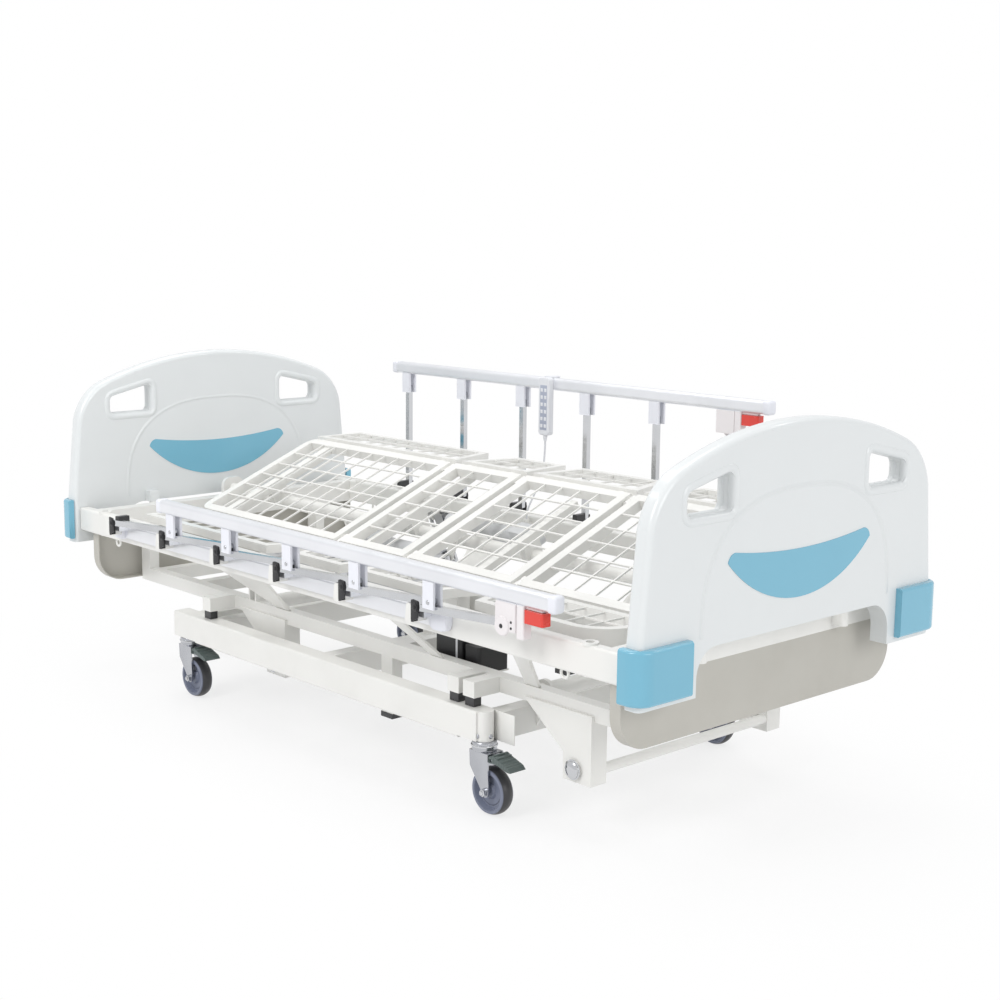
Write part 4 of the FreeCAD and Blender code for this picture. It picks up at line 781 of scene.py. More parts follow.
@dataclass
class Studio:
    """Floor, light, background and the camera.

    Args:
        eye: the camera's place.
        yaw: degrees that it looks to the left of +Y.
        pitch: degrees that it looks down.
        roll: degrees about its own axis.
        lens: focal length on a 36 mm sensor.
        rise: vertical shift.
        soft: strength of the light from all round.
        film: width of the camera's sensor in millimetres.
        reach: half the floor's width.
        paper: the floor's lightest and darkest grey.
        paper_scale: patches of grey per metre.
        paper_rough: the floor's roughness.
        sky_tint: colour of the light from all round.
        plain_share: how white the floor is in the middle of the shadow.
        shadow_scale: squash of the shadow's oval along X and Y.
        shadow_range: where the shadow starts to fade and where it ends.
        glossy_share: how white the background is in reflections.
        lamps: the lights.
    """

    eye: Triple = (3.007, -2.594, 1.234)
    yaw: float = 47.40
    pitch: float = 9.66
    roll: float = 0.59
    lens: float = 58.76
    rise: float = 0.0017
    soft: float = 0.74
    film: float = 36.0
    reach: float = 30.0
    paper: Pair = (0.86, 0.84)
    paper_scale: float = 3.0
    paper_rough: float = 0.9
    sky_tint: Colour = (0.98, 0.985, 1.0)
    plain_share: float = 0.70
    shadow_scale: Pair = (0.62, 1.15)
    shadow_range: Pair = (0.35, 1.15)
    glossy_share: float = 0.4
    lamps: tuple[Lamp, ...] = (
        Lamp("key_light", (0.4, -4.8, 4.2), 122.0, 2.4),
        Lamp("fill_light", (12.0, 1.0, 5.0), 345.0, 6.0),
        Lamp("top_light", (-1.2, 0.8, 5.2), 70.0, 3.0),
        Lamp("far_glint", (2.9, 3.9, 4.1), 9.0, 0.35),
        Lamp("near_glint", (-2.7, -2.2, 4.6), 9.0, 0.35),
    )

    def camera(self) -> None:
        """Sets the camera that was fitted to the photograph."""
        yaw, pitch, roll = (math.radians(v) for v in (self.yaw, self.pitch, self.roll))
        back = Vector((math.sin(yaw) * math.cos(pitch), -math.cos(yaw) * math.cos(pitch), math.sin(pitch)))
        right = (-back).cross(Axis.Z.vector).normalized()
        up = right.cross(-back)
        level = right * math.cos(roll) + up * math.sin(roll)
        head = up * math.cos(roll) - right * math.sin(roll)
        data = bpy.data.cameras.new("photo_camera")
        data.lens = self.lens
        data.sensor_width = self.film
        data.shift_y = self.rise
        data.clip_end = 2.0 * self.reach
        camera = linked("photo_camera", data)
        turn = Matrix((level, head, back)).transposed().to_4x4()
        camera.matrix_world = Matrix.Translation(self.eye) @ turn
        bpy.context.scene.camera = camera

    def floor(self) -> None:
        """Lays a wide white floor at z 0."""
        mesh = bpy.data.meshes.new("studio_floor")
        corners = [(a * self.reach, b * self.reach, 0) for a, b in ((-1, -1), (1, -1), (1, 1), (-1, 1))]
        mesh.from_pydata(corners, [], [(0, 1, 2, 3)])
        ground = linked("studio_floor", mesh)
        paint = Shader("studio_floor")
        paint.colour(paint.blend(paint.noise(self.paper_scale), *((grey, grey, grey) for grey in self.paper)))
        paint.steady(Roughness=self.paper_rough)
        self.whiten(paint)
        mesh.materials.append(paint.material)

    def whiten(self, paint: Shader) -> None:
        """Shows the floor as white paper to the camera, all but the soft shadow round the castors.

        Args:
            paint: the floor's material.
        """
        camera, glossy, through = paint.rays("Camera", "Glossy", "Transmission")
        seen = (camera + glossy + through).clamp()
        x, y, _ = paint.axes()
        oval = ((x * self.shadow_scale[0]) ** 2.0 + (y * self.shadow_scale[1]) ** 2.0).root()
        share = seen * (self.plain_share + (1.0 - self.plain_share) * oval.ramp(*self.shadow_range))
        white = paint.node("ShaderNodeEmission", inputs={"Strength": 1.0})
        mix = paint.node("ShaderNodeMixShader",
                         inputs={0: share, 1: paint.bsdf.outputs[0], 2: white.outputs[0]})
        paint.feed(paint.tree.nodes["Material Output"].inputs[0], mix.outputs[0])

    def world(self) -> None:
        """Soft light from all round, with plain white behind the bed."""
        world = bpy.data.worlds.new("studio")
        bpy.context.scene.world = world
        world.use_nodes = True
        world.node_tree.nodes.clear()
        sky = Graph(world.node_tree)
        camera, through, glossy = sky.rays("Camera", "Transmission", "Glossy")
        share = (camera + through + self.glossy_share * glossy).clamp()
        soft = sky.node("ShaderNodeBackground",
                        inputs={"Color": (*self.sky_tint, 1.0), "Strength": self.soft})
        white = sky.node("ShaderNodeBackground",
                         inputs={"Color": (1.0, 1.0, 1.0, 1.0), "Strength": 1.0})
        mix = sky.node("ShaderNodeMixShader", inputs={0: share, 1: soft.outputs[0], 2: white.outputs[0]})
        sky.node("ShaderNodeOutputWorld", inputs={0: mix.outputs[0]})

    def build(self) -> None:
        """Sets up the whole studio."""
        self.camera()
        self.floor()
        self.world()
        for lamp in self.lamps:
            lamp.hang()
        bpy.context.scene.view_settings.view_transform = "Standard"


@dataclass
class HandsetSet:
    """The keypad on the far rail and its cord.

    Args:
        shop: where pieces are made.
        key_rows: rows of keys.
        key_columns: keys in a row.
        key_half: half a key's width and height.
        key_out: how far the keys stand proud.
        key_in: how far they reach into the handset.
        key_edge: radius of their edges.
        key_share: distance between key columns, as a share of the handset's width.
        key_start: from the panel's top to the first key's middle, in rows.
        key_spare: height of the panel beyond its rows, in rows.
        panel_share: half the panel's width, as a share of the handset's.
        panel_out: how far the panel stands proud.
        panel_in: how far it reaches into the handset.
        panel_edge: radius of its edges.
        panel_top: bare face over the panel.
        panel_over_cord: height of the panel's foot over the cord's upper end.
        lead: length and diameter of the cord.
    """

    shop: Workshop
    key_rows: int = 6
    key_columns: int = 2
    key_half: Pair = (0.0048, 0.0052)
    key_out: float = 0.0005
    key_in: float = 0.003
    key_edge: float = 0.0012
    key_share: float = 0.34
    key_start: float = 0.75
    key_spare: float = 0.4
    panel_share: float = 0.36
    panel_out: float = 0.0002
    panel_in: float = 0.004
    panel_edge: float = 0.002
    panel_top: float = 0.022
    panel_over_cord: float = 0.030
    lead: Pair = (0.222, 0.005)

    def route(self) -> list[Triple]:
        """Points of the cord, in metres, the same as the CAD's.

        Returns:
            The points from the handset down to the frame.
        """
        return [
            (-0.150, 0.4735, 0.653),
            (-0.150, 0.473, 0.599),
            (-0.149, 0.455, 0.545),
            (-0.1495, 0.427, 0.498),
            (-0.150, 0.410, 0.472),
            (-0.150, 0.407, 0.446),
        ]

    def cord(self) -> None:
        """The hanging cord, a smooth curve that stands for the CAD's tube."""
        points = self.route()
        curve = bpy.data.curves.new("handset_lead", "CURVE")
        curve.dimensions = "3D"
        curve.bevel_depth = self.lead[1] / 2
        curve.bevel_resolution = 4
        curve.resolution_u = 16
        line = curve.splines.new("NURBS")
        line.points.add(len(points) - 1)
        for target, point in zip(line.points, points):
            target.co = (*point, 1.0)
        line.order_u = 3
        line.use_endpoint_u = True
        curve.materials.append(self.shop.paints[Look.SHEATH])
        lead = linked("handset_lead", curve)
        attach(lead, "upper")
        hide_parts("handset_cord")
        points[0]
        self.lead[0]
        self.lead[1]

    def keypad(self) -> None:
        """Soft keys in two columns on a sunken panel, over the handset's front."""
        low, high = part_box("handset")
        front = low.y
        centre = (low.x + high.x) / 2
        width = high.x - low.x
        half = width * self.panel_share
        top = high.z - self.panel_top
        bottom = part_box("handset_cord")[1].z + self.panel_over_cord
        panel = block((centre - half, front - self.panel_out, bottom),
                      (centre + half, front + self.panel_in, top), self.panel_edge)
        self.shop.place("handset_panel", panel, Look.KEYS, "handset_body", "handset_white")
        pitch = (top - bottom) / (self.key_rows + self.key_spare)
        a, b = self.key_half
        keys = []
        for row in range(self.key_rows):
            for column in range(self.key_columns):
                x = centre + (column - (self.key_columns - 1) / 2) * width * self.key_share
                z = top - (row + self.key_start) * pitch
                keys.append(block((x - a, front - self.key_out, z - b),
                                  (x + a, front + self.key_in, z + b), self.key_edge))
        self.shop.place("handset_keys", together(*keys), Look.HANDSET, "handset_body", "handset_white")

    def build(self) -> None:
        """Makes the cord and the keys."""
        self.cord()
        self.keypad()
        self.shop.dress("handset", Look.HANDSET)


@dataclass
class EndBoard:
    """One moulded end board with its inlays and corner guards.

    Args:
        shop: where pieces are made.
        end: head or foot.
        lip: radius of the bead round a hand hole.
        grow: how far the bead's middle lies outside the hole.
        sink: how deep the bead's middle lies under the face.
        corner: radius of the bead's corners.
        thick: the board's thickness.
        hole: a hand hole's corners in YZ.
        arch: half width, foot and rise of the faint arch line.
        arch_power: how square the arch is.
        line: width and height of the arch line.
    """

    shop: Workshop
    end: End
    lip: float = 0.011
    grow: float = 0.0075
    sink: float = 0.0080
    corner: float = 0.024
    thick: float = 0.042
    hole: tuple[Pair, ...] = ((0.216, 0.702), (0.350, 0.702), (0.350, 0.752), (0.216, 0.787))
    arch: Triple = (0.300, 0.470, 0.262)
    arch_power: float = 2.6
    line: Pair = (0.055, 0.0016)

    def paint(self) -> None:
        """Moulded plastic with the faint raised arch line across its face."""
        made = Look.BOARD.value.shader("board_plastic_" + self.end.word)
        _, y, z = made.axes()
        half, foot, rise = self.arch
        across = (abs(y) * (1.0 / half)) ** self.arch_power
        up = (abs(z - foot) * (1.0 / rise)) ** self.arch_power
        made.relief((across + up).near(1.0, self.line[0]) * (z > foot), self.line[1])
        self.shop.dress(self.end.word + "_board", made)
        self.shop.dress(self.end.word + "_trim", Look.BLUE)

    def lips(self) -> None:
        """A soft bead round each hand hole on both faces."""
        low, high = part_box(self.end.word + "_board")
        outer = high.x if self.end is End.FOOT else low.x
        inner = outer - self.end.value * self.thick
        middle_y, middle_z = (sum(v) / len(self.hole) for v in zip(*self.hole))
        for side in Side:
            corners = [(side.value * (y + math.copysign(self.grow, y - middle_y)),
                        z + math.copysign(self.grow, z - middle_z)) for y, z in self.hole]
            for word, x, way in (("outer", outer, -1), ("inner", inner, 1)):
                spot = x + way * self.end.value * self.sink
                line = [Vector((spot, y, z)) for y, z in rounded(corners, self.corner)]
                name = "%s_board_lip_%s_%s" % (self.end.word, side.word, word)
                self.shop.place(name, loop_tube(line, self.lip, 16), Look.BOARD, self.end.word + "_end_board",
                                "board_white")

    def build(self) -> None:
        """Paints the board and adds its lips."""
        self.paint()
        self.lips()


@dataclass(frozen=True)
class Layer:
    """A flat piece beside a post's lower pivot.

    Args:
        outline: its corners in XZ, from the pivot.
        inner: how far its inner face is from the bed's middle.
        outer: how far its outer face is.
        corner: radius of its corners.
        edge: radius round its faces.
    """

    outline: tuple[Pair, ...]
    inner: float
    outer: float
    corner: float = 0.0
    edge: float = 0.0

    def at(self, pivot: Vector, side: Side) -> Build:
        """The piece at one pivot, as a build function.

        Args:
            pivot: the post's lower pivot.
            side: near or far.

        Returns:
            A function that adds it to a bmesh.
        """
        corners = [(pivot.x + x, pivot.z + z) for x, z in self.outline]
        line = rounded(corners, self.corner) if self.corner else corners
        return plate(line, side.value * self.inner, side.value * self.outer, self.edge)


SHOE = Layer(((-0.0350, -0.0370), (-0.0122, -0.0370), (-0.0122, 0.0045), (-0.0300, 0.0045)), 0.4632, 0.5035,
             0.0045, 0.0012)
LEAF = Layer(((-0.0120, -0.0330), (0.0105, -0.0220), (0.0095, 0.0130), (-0.0120, 0.0150)), 0.5044, 0.5064,
             0.0035, 0.0004)
STRIP = Layer(((-0.0121, -0.0330), (-0.0088, -0.0330), (-0.0088, 0.0048), (-0.0121, 0.0048)), 0.4898, 0.5060)


@dataclass
class SideRail:
    """One folding side rail with its plastic fittings.

    Args:
        shop: where pieces are made.
        side: near or far.
        posts: how many posts it has.
        cheek: wall of the sockets over the posts' heads.
        height: the handrail's own height.
        latch_before: how far the latch reaches to the head, from its pivot.
        latch_round: how far it reaches down and to the foot.
        latch_gap: how far it stays clear of the rail.
        cover: thickness of the latch's cover.
        cover_round: radius of its corners and of its edges.
        lobe: the latch's round lobe, from its pivot in XZ.
        dots: the latch's screws from its pivot in XZ, with radius and height of seat.
        dot_height: height of their heads.
        seam: how far the plastic's paint reaches up over the rail's underside.
        upper_rivet: radius and height of a rivet at an upper pivot.
        lower_rivet: the same at a lower pivot.
        rivet_seat: how far the lower rivets' seats are from the bed's middle.
        cap_in: how far an end cap reaches onto the rail.
        cap_out: how far it stands past the end.
        cap_wall: how far it stands proud all round.
        cap_edge: radius of its edges.
    """

    shop: Workshop
    side: Side
    posts: int = 6
    cheek: float = 0.0055
    height: float = 0.033
    latch_before: float = 0.0425
    latch_round: float = 0.0140
    latch_gap: float = 0.0002
    cover: float = 0.0022
    cover_round: Pair = (0.005, 0.0007)
    lobe: Pair = (-0.0225, -0.0050)
    dots: tuple[tuple[float, float, float, float], ...] = (
        (-0.0225, -0.0050, 0.0046, 0.0048),
        (0.0030, 0.0060, 0.0026, 0.0020),
        (0.0030, -0.0060, 0.0026, 0.0020),
    )
    dot_height: float = 0.0018
    seam: float = 0.0004
    upper_rivet: Pair = (0.0048, 0.0022)
    lower_rivet: Pair = (0.0050, 0.0026)
    rivet_seat: float = 0.5084
    cap_in: float = 0.020
    cap_out: float = 0.0035
    cap_wall: float = 0.0012
    cap_edge: float = 0.0075

    @property
    def rail_low(self) -> float:
        """Underside of the handrail, from the frame."""
        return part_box(self.side.word + "_handrail")[1].z - self.height

    @property
    def face(self) -> float:
        """Outer face of the sockets, along Y."""
        return self.side.value * (RAIL_Y + POST_FACE + self.cheek)

    def paint(self) -> None:
        """Extruded aluminium above, moulded plastic on the sockets below it."""
        word = self.side.word
        made = Look.ALUMINIUM.value.shader("handrail_" + word)
        x, _, z = made.axes()
        plastic = z < self.rail_low + self.seam
        latch = x > self.last_pivot.x - self.latch_before
        fitting = made.blend(latch, Look.SOCKET.value.colour, Look.LATCH.value.colour)
        made.colour(made.blend(plastic, made.base, fitting))
        made.feed(made.bsdf.inputs["Metallic"], METAL_SHARE * (1 - plastic))
        self.shop.dress(word + "_handrail", made)
        self.shop.dress(word + "_latch_button", Look.RED)
        for i in range(self.posts):
            self.shop.dress("%s_post_%d" % (word, i + 1), Look.CHROME)

    def pivots(self, post: int) -> tuple[Vector, Vector]:
        """Finds both pivots of a post.

        Args:
            post: which post, counted from 1 at the head.

        Returns:
            The lower and the upper pivot.
        """
        low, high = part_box("%s_post_%d" % (self.side.word, post))
        raised = high.z - low.z > high.x - low.x
        lower = Vector((low.x + PIN_HALF, 0.0, low.z + PIN_HALF))
        return lower, Vector((low.x + PIN_HALF if raised else high.x - PIN_HALF, 0.0, high.z - PIN_HALF))

    @property
    def last_pivot(self) -> Vector:
        """Upper pivot of the post that carries the latch."""
        return self.pivots(self.posts)[1]

    def latch(self) -> None:
        """Cover, screws and round lobe of the latch at the foot end of the handrail."""
        word = self.side.word
        body = word + "_rail_top"
        at = self.last_pivot
        face = self.face
        way = self.side.out
        x0, x1 = at.x - self.latch_before, at.x + self.latch_round
        z0, z1 = at.z - self.latch_round, self.rail_low - self.latch_gap
        corner, edge = self.cover_round
        outline = rounded([(x0, z0), (x1, z0), (x1, z1), (x0, z1)], corner)
        cover = plate(outline, face, face + self.side.value * self.cover, edge)
        self.shop.place("latch_cover_" + word, cover, Look.LATCH, body, "rail_aluminium")
        lobe = lathe(LATCH_LOBE, (at.x + self.lobe[0], face, at.z + self.lobe[1]), way, 36)
        self.shop.place("latch_lobe_" + word, lobe, Look.LATCH, body, "rail_aluminium")
        screws = [lathe(dome(radius, self.dot_height), (at.x + x, face + self.side.value * seat, at.z + z),
                        way, 14) for x, z, radius, seat in self.dots]
        self.shop.place("latch_screws_" + word, together(*screws), Look.BLACK, body, "box_black")

    def hinges(self) -> None:
        """White shoe and black hinge plate at the foot of each post, on the bottom bar."""
        pivots = [self.pivots(post)[0] for post in range(1, self.posts + 1)]
        shoes = [SHOE.at(pivot, self.side) for pivot in pivots]
        plates = [layer.at(pivot, self.side) for pivot in pivots for layer in (LEAF, STRIP)]
        self.shop.place("post_shoes_" + self.side.word, together(*shoes), Look.POWDER, "upper", "frame_white")
        self.shop.place("post_hinges_" + self.side.word, together(*plates), Look.BLACK, "upper", "box_black")

    def caps(self) -> None:
        """Plastic end caps on the handrail."""
        low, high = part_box(self.side.word + "_handrail")
        base = self.rail_low
        for word, x, way in (("head", low.x, -1), ("foot", high.x, 1)):
            x0, x1 = sorted((x - way * self.cap_in, x + way * self.cap_out))
            a = (x0, low.y - self.cap_wall, base - self.cap_wall)
            b = (x1, high.y + self.cap_wall, high.z + self.cap_wall)
            name = "%s_handrail_cap_%s" % (self.side.word, word)
            self.shop.place(name, block(a, b, self.cap_edge, 4), Look.SOCKET, self.side.word + "_rail_top",
                            "rail_aluminium")

    def rivets(self) -> None:
        """Domed rivets on the upper and lower pivots of each post."""
        word = self.side.word
        way = self.side.out
        seat = self.side.value * self.rivet_seat
        uppers = []
        lowers = []
        for post in range(1, self.posts + 1):
            lower, upper = self.pivots(post)
            if post < self.posts:
                uppers.append(lathe(dome(*self.upper_rivet), (upper.x, self.face, upper.z), way, 16))
            lowers.append(lathe(dome(*self.lower_rivet), (lower.x, seat, lower.z), way, 18))
        self.shop.place(word + "_rivets_top", together(*uppers), Look.CHROME, word + "_rail_top", "rod_steel")
        self.shop.place(word + "_rivets_low", together(*lowers), Look.BLACK, "upper", "box_black")

    def build(self) -> None:
        """Paints the rail and adds its fittings."""
        self.paint()
        self.caps()
        self.latch()
        self.hinges()
        self.rivets()


@dataclass
class Castors:
    """The four castors with their fittings and brake pedals.

    Args:
        shop: where pieces are made.
        corners: the castors' names.
        braked: those with a pedal.
        tread: where the wheel's face turns into its tread.
        groove: radius and half width of the wheel's groove.
        groove_depth: depth of the groove.
        rim: radius and half width of its rim line.
        rim_share: how dark the rim line is, beside the groove.
        tread_paint: colour of the tread.
        groove_paint: colour of the groove and the rim line.
        race_z: height of the swivel bearing.
        screw_z: height of the screws in the castor posts.
        post_radius: radius of those posts.
        post_screw: radius and height of the screws' heads.
        ribs: ribs per metre along a pedal, and where a rib's flank starts and ends, in ribs.
        rib_depth: depth between the ribs.
        drops: fall of the pedal's ridges from the pedal's top.
        ridge: half width, depth and height of a ridge.
        ridge_in: how far a ridge's ends lie within the pedal's sides.
        ridge_edge: radius of its edges.
        first_ridge: from the pedal's heel to the first ridge, and from one to the next.
    """

    shop: Workshop
    corners: tuple[str, ...] = ("near_head", "near_foot", "far_head", "far_foot")
    braked: tuple[str, ...] = ("near_head", "near_foot")
    tread: Pair = (0.0478, 0.0492)
    groove: Pair = (0.031, 0.0014)
    groove_depth: float = 0.0008
    rim: Pair = (0.041, 0.0012)
    rim_share: float = 0.6
    tread_paint: Colour = (0.035, 0.035, 0.038)
    groove_paint: Colour = (0.05, 0.055, 0.08)
    race_z: float = 0.147
    screw_z: float = 0.168
    post_radius: float = 0.0195
    post_screw: Pair = (0.0052, 0.0036)
    ribs: Triple = (130.0, 0.12, 0.3)
    rib_depth: float = 0.0009
    drops: tuple[float, ...] = (0.0012, 0.0040, 0.0095, 0.0150)
    ridge: Triple = (0.0024, 0.006, 0.0026)
    ridge_in: float = 0.001
    ridge_edge: float = 0.0012
    first_ridge: Pair = (0.013, 0.0115)

    def wheel_paint(self, corner: str) -> None:
        """Blue-grey wheel face with a groove and a darker tread.

        Args:
            corner: which castor.
        """
        node = "castor_wheel_" + corner
        low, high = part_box(node)
        centre = (low + high) / 2
        made = Look.TYRE.value.shader("wheel_" + corner)
        spoke = made.distance(centre, Axis.Y)
        groove = spoke.near(*self.groove)
        rim = spoke.near(*self.rim)
        dark = made.blend(spoke.ramp(*self.tread), made.base, self.tread_paint)
        made.colour(made.blend((groove + rim * self.rim_share).clamp(), dark, self.groove_paint))
        made.relief(1 - groove, self.groove_depth)
        self.shop.dress(node, made)

    def fittings(self, corner: str) -> None:
        """Axle nuts, raceway and post screws of one castor.

        Args:
            corner: which castor.
        """
        low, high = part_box("castor_wheel_" + corner)
        centre = (low + high) / 2
        fork_low, fork_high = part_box("castor_fork_" + corner)
        fork = "fork_" + corner
        stem = Vector((centre.x - CASTOR_TRAIL, centre.y, self.race_z))
        for word, way, face, sides in (("a", -1, fork_low.y, 6), ("b", 1, fork_high.y, 20)):
            nut = lathe(AXLE_NUT, (centre.x, face, centre.z), Axis.Y.vector * way, sides)
            self.shop.place("axle_nut_%s_%s" % (corner, word), nut, Look.CHROME, fork, "castor_steel")
        race = lathe(RACEWAY, stem, Axis.Z.vector, 36)
        self.shop.place("raceway_" + corner, race, Look.CHROME, fork, "castor_steel")
        out = Axis.Y.vector * math.copysign(1.0, centre.y)
        for word, way in (("side", out), ("foot", Axis.X.vector)):
            spot = Vector((stem.x, stem.y, self.screw_z)) + way * self.post_radius
            screw = lathe(dome(*self.post_screw), spot, way, 16)
            self.shop.place("post_screw_%s_%s" % (corner, word), screw, Look.ZINC, "base", "castor_steel")

    def pedal_ribs(self, corner: str) -> None:
        """Fine ribs on a brake pedal.

        Args:
            corner: which castor.
        """
        made = Look.PEDAL.value.shader("pedal_" + corner)
        pitch, start, end = self.ribs
        ribs = abs((pitch * made.axes()[0]).part() - 0.5).ramp(start, end)
        made.relief(ribs, self.rib_depth)
        self.shop.dress("brake_pedal_" + corner, made)

    def pedal_teeth(self, corner: str) -> None:
        """Grip ridges across the top of a brake pedal.

        Args:
            corner: which castor.
        """
        low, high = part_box("brake_pedal_" + corner)
        teeth = []
        half, depth, rise = self.ridge
        start, step = self.first_ridge
        for i, drop in enumerate(self.drops):
            x = low.x + start + i * step
            z = high.z - drop
            teeth.append(block((x - half, low.y + self.ridge_in, z - depth),
                               (x + half, high.y - self.ridge_in, z + rise), self.ridge_edge))
        self.shop.place("pedal_teeth_" + corner, together(*teeth), Look.PEDAL, "pedal_" + corner,
                        "pedal_grey")

    def build(self) -> None:
        """Dresses the castors one after another, and then the pedals."""
        for corner in self.corners:
            self.wheel_paint(corner)
            self.shop.dress("castor_fork_" + corner, Look.ZINC)
            self.fittings(corner)
        for corner in self.braked:
            self.pedal_teeth(corner)
            self.pedal_ribs(corner)


@dataclass
class Chassis:
    """Base frame, lift arms and the frame that hangs on them.

    Args:
        shop: where pieces are made.
        plug: the beam plugs' inner and outer face, foot and top.
        plug_gap: how far they end within the frame's end.
        plug_edge: radius of their edges.
        pads: top of the stop pads, and how far out they begin.
        caps: top, middle and half length of the post caps, and their two sides.
        pad_paint: colour of the pads and caps.
        strap_half: half the strap's width.
        strap_out: how far it stands proud.
        strap_edge: radius of its edges.
        bolt_y: seat of the lift bolts.
        bolt_z: their height.
        bolts: their places along the bed.
    """

    shop: Workshop
    plug: tuple[float, ...] = (0.3400, 0.3425, 0.1545, 0.2195)
    plug_gap: float = 0.0003
    plug_edge: float = 0.0006
    pads: Pair = (0.2429, 0.345)
    caps: tuple[float, ...] = (0.1081, 0.130, 0.023, 0.266, 0.304)
    pad_paint: Colour = (0.025, 0.025, 0.028)
    strap_half: float = 0.0030
    strap_out: float = 0.0012
    strap_edge: float = 0.0008
    bolt_y: float = 0.3132
    bolt_z: float = 0.1343
    bolts: tuple[tuple[str, float], ...] = (("foot", 0.7549), ("head", -0.3131))

    def beam_ends(self) -> None:
        """White plugs in the open ends of the foot cross beam."""
        wheel_low, wheel_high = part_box("castor_wheel_near_foot")
        x = (wheel_low.x + wheel_high.x) / 2 - CASTOR_TRAIL
        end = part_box("base_frame")[1].x - self.plug_gap
        inner, outer, foot, top = self.plug
        for side in Side:
            y0, y1 = sorted((side.value * inner, side.value * outer))
            self.shop.place("beam_plug_" + side.word, block((x, y0, foot), (end, y1, top), self.plug_edge),
                            Look.POWDER, "base", "frame_white")

    def lower_frame_paint(self) -> None:
        """White frame with black stop pads and post caps."""
        made = Look.POWDER.value.shader("lower_frame_white")
        x, y, z = made.axes()
        reach = abs(y)
        pads = (z < self.pads[0]) * (reach > self.pads[1])
        top, middle, half, inner, outer = self.caps
        caps = (z < top) * (abs(x - middle) < half) * (reach > inner) * (reach < outer)
        made.colour(made.blend((pads + caps).clamp(), made.base, self.pad_paint))
        self.shop.dress("lower_frame", made)

    def strap(self) -> None:
        """White tie round the two control boxes, in the joint between them."""
        low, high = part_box("control_box")
        x = (low.x + high.x) / 2
        out = self.strap_out
        tie = block((x - self.strap_half, low.y - out, low.z - out),
                    (x + self.strap_half, high.y + out, high.z + out), self.strap_edge)
        self.shop.place("box_strap", tie, Look.HANDSET, "upper", "frame_white")

    def lift_bolts(self) -> None:
        """Chrome bolts on the lift brackets."""
        for side in Side:
            for word, x in self.bolts:
                seat = (x, side.value * self.bolt_y, self.bolt_z)
                bolt = lathe(LIFT_BOLT, seat, side.out, 32)
                self.shop.place("lift_bolt_%s_%s" % (word, side.word), bolt, Look.CHROME, "upper",
                                "rod_steel")

    def build(self) -> None:
        """Dresses the frames, the lift arms, the aprons and the control boxes."""
        self.beam_ends()
        self.lower_frame_paint()
        self.lift_bolts()
        for node in ("base_frame", "lift_arms_head", "lift_arms_foot"):
            self.shop.dress(node, Look.POWDER)
        self.shop.dress("aprons", Look.APRON)
        self.shop.dress("control_box", Look.BLACK)
        self.strap()


@dataclass
class Deck:
    """The turning deck, its flaps and drives.

    Args:
        shop: where pieces are made.
        tilt: degrees that the deck leans to the near side.
        hinges: where the sections meet.
        pin_y: middle of the hinge pins across the bed, on the turned deck.
        pin_z: its height.
        pin_end: how far out along the pins their nuts are seated.
    """

    shop: Workshop
    tilt: float = 22.5
    hinges: tuple[tuple[str, float], ...] = (("back", -0.169), ("thigh", 0.100), ("leg", 0.472))
    pin_y: float = -0.02526
    pin_z: float = 0.53098
    pin_end: float = 0.2040

    def hinge_nuts(self) -> None:
        """Small nuts on the ends of the hinge pins between the sections."""
        lean = math.radians(self.tilt)
        along = Vector((0.0, math.cos(lean), math.sin(lean)))
        for word, x in self.hinges:
            centre = Vector((x, self.pin_y, self.pin_z))
            nuts = [lathe(HINGE_NUT, centre + along * way * self.pin_end, along * way, 6) for way in (-1, 1)]
            self.shop.place("hinge_nuts_" + word, together(*nuts), Look.ZINC,
                            "deck_thigh" if word == "leg" else "deck_seat", "rod_steel")

    def build(self) -> None:
        """Dresses the sections, flaps and drives."""
        for name in ("back", "seat", "thigh", "leg"):
            self.shop.dress(name + "_section", Look.POWDER)
            for side in Side:
                self.shop.dress("%s_flap_%s" % (name, side.word), Look.POWDER)
        self.hinge_nuts()
        for name in ("hilo", "turn", "back", "knee"):
            self.shop.dress(name + "_actuator", Look.DRIVE)
            self.shop.dress(name + "_rod", Look.CHROME)


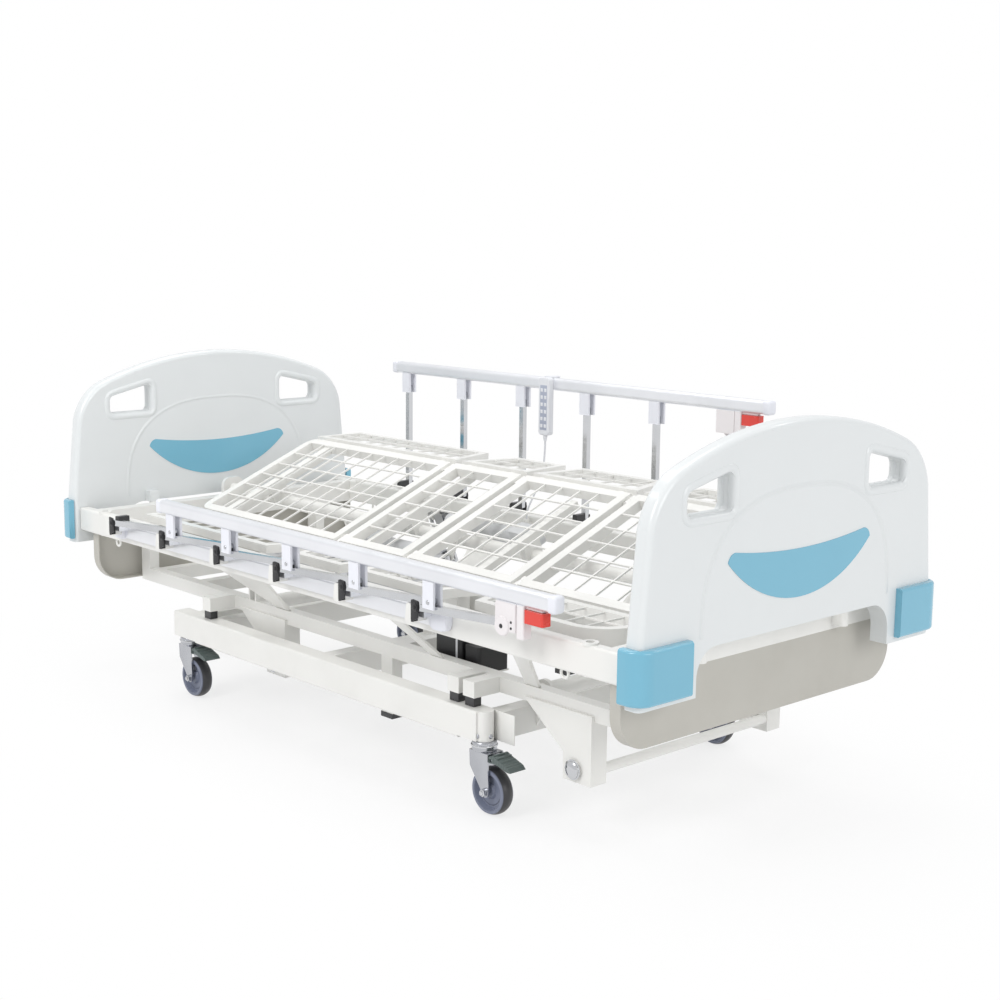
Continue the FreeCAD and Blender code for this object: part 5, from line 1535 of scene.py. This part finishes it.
@dataclass
class UpperFrame:
    """Side beams and the bottom bars of the rails.

    Args:
        shop: where pieces are made.
        cap_in: how far a bar's cap reaches onto the bar.
        cap_out: how far it stands past the bar's end.
        cap_wall: how far it stands proud above and below.
        cap_y: its inner and outer face.
        cap_round: radius of its corners and of its edges.
        seam: how far the bars' own look reaches over their top.
    """

    shop: Workshop
    cap_in: float = 0.034
    cap_out: float = 0.020
    cap_wall: float = 0.0022
    cap_y: Pair = (0.4512, 0.4700)
    cap_round: Pair = (0.012, 0.0045)
    seam: float = 0.0003

    @property
    def bar_top(self) -> float:
        """Top face of the bottom bars."""
        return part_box("near_post_1")[0].z - BAR_OVER

    def bars(self) -> None:
        """Aluminium bars with black pivot brackets."""
        made = Look.ALUMINIUM.value.shader("rail_bar")
        black = made.axes()[2] > self.bar_top + self.seam
        made.colour(made.blend(black, made.base, BLACK_PAINT))
        made.feed(made.bsdf.inputs["Metallic"], METAL_SHARE * (1 - black))
        self.shop.dress("rail_bases", made)

    def caps(self) -> None:
        """Rounded grey caps on both ends of the bottom bars."""
        low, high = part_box("rail_bases")
        z0 = low.z - self.cap_wall
        z1 = self.bar_top + self.cap_wall
        corner, edge = self.cap_round
        for side in Side:
            for word, x, way in (("head", low.x, -1), ("foot", high.x, 1)):
                x0, x1 = sorted((x - way * self.cap_in, x + way * self.cap_out))
                line = rounded([(x0, z0), (x1, z0), (x1, z1), (x0, z1)], corner)
                cap = plate(line, *(side.value * y for y in self.cap_y), edge)
                self.shop.place("bar_cap_%s_%s" % (side.word, word), cap, Look.SOCKET, "upper",
                                "rail_aluminium")

    def build(self) -> None:
        """Dresses the beams and the bars."""
        self.shop.dress("upper_frame", Look.POWDER)
        self.bars()
        self.caps()


def main() -> None:
    """Builds the dressed bed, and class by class."""
    logging.basicConfig(level=logging.INFO)
    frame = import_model()
    shop = Workshop(frame, Paints())
    Studio().build()
    assemblies = [HandsetSet(shop)]
    assemblies += [EndBoard(shop, end) for end in End]
    assemblies += [SideRail(shop, side) for side in Side]
    assemblies += [Castors(shop), Chassis(shop), UpperFrame(shop), Deck(shop)]
    for assembly in assemblies:
        assembly.build()
        log.info("built %s", type(assembly).__name__)


if __name__ == "__main__":
    main()
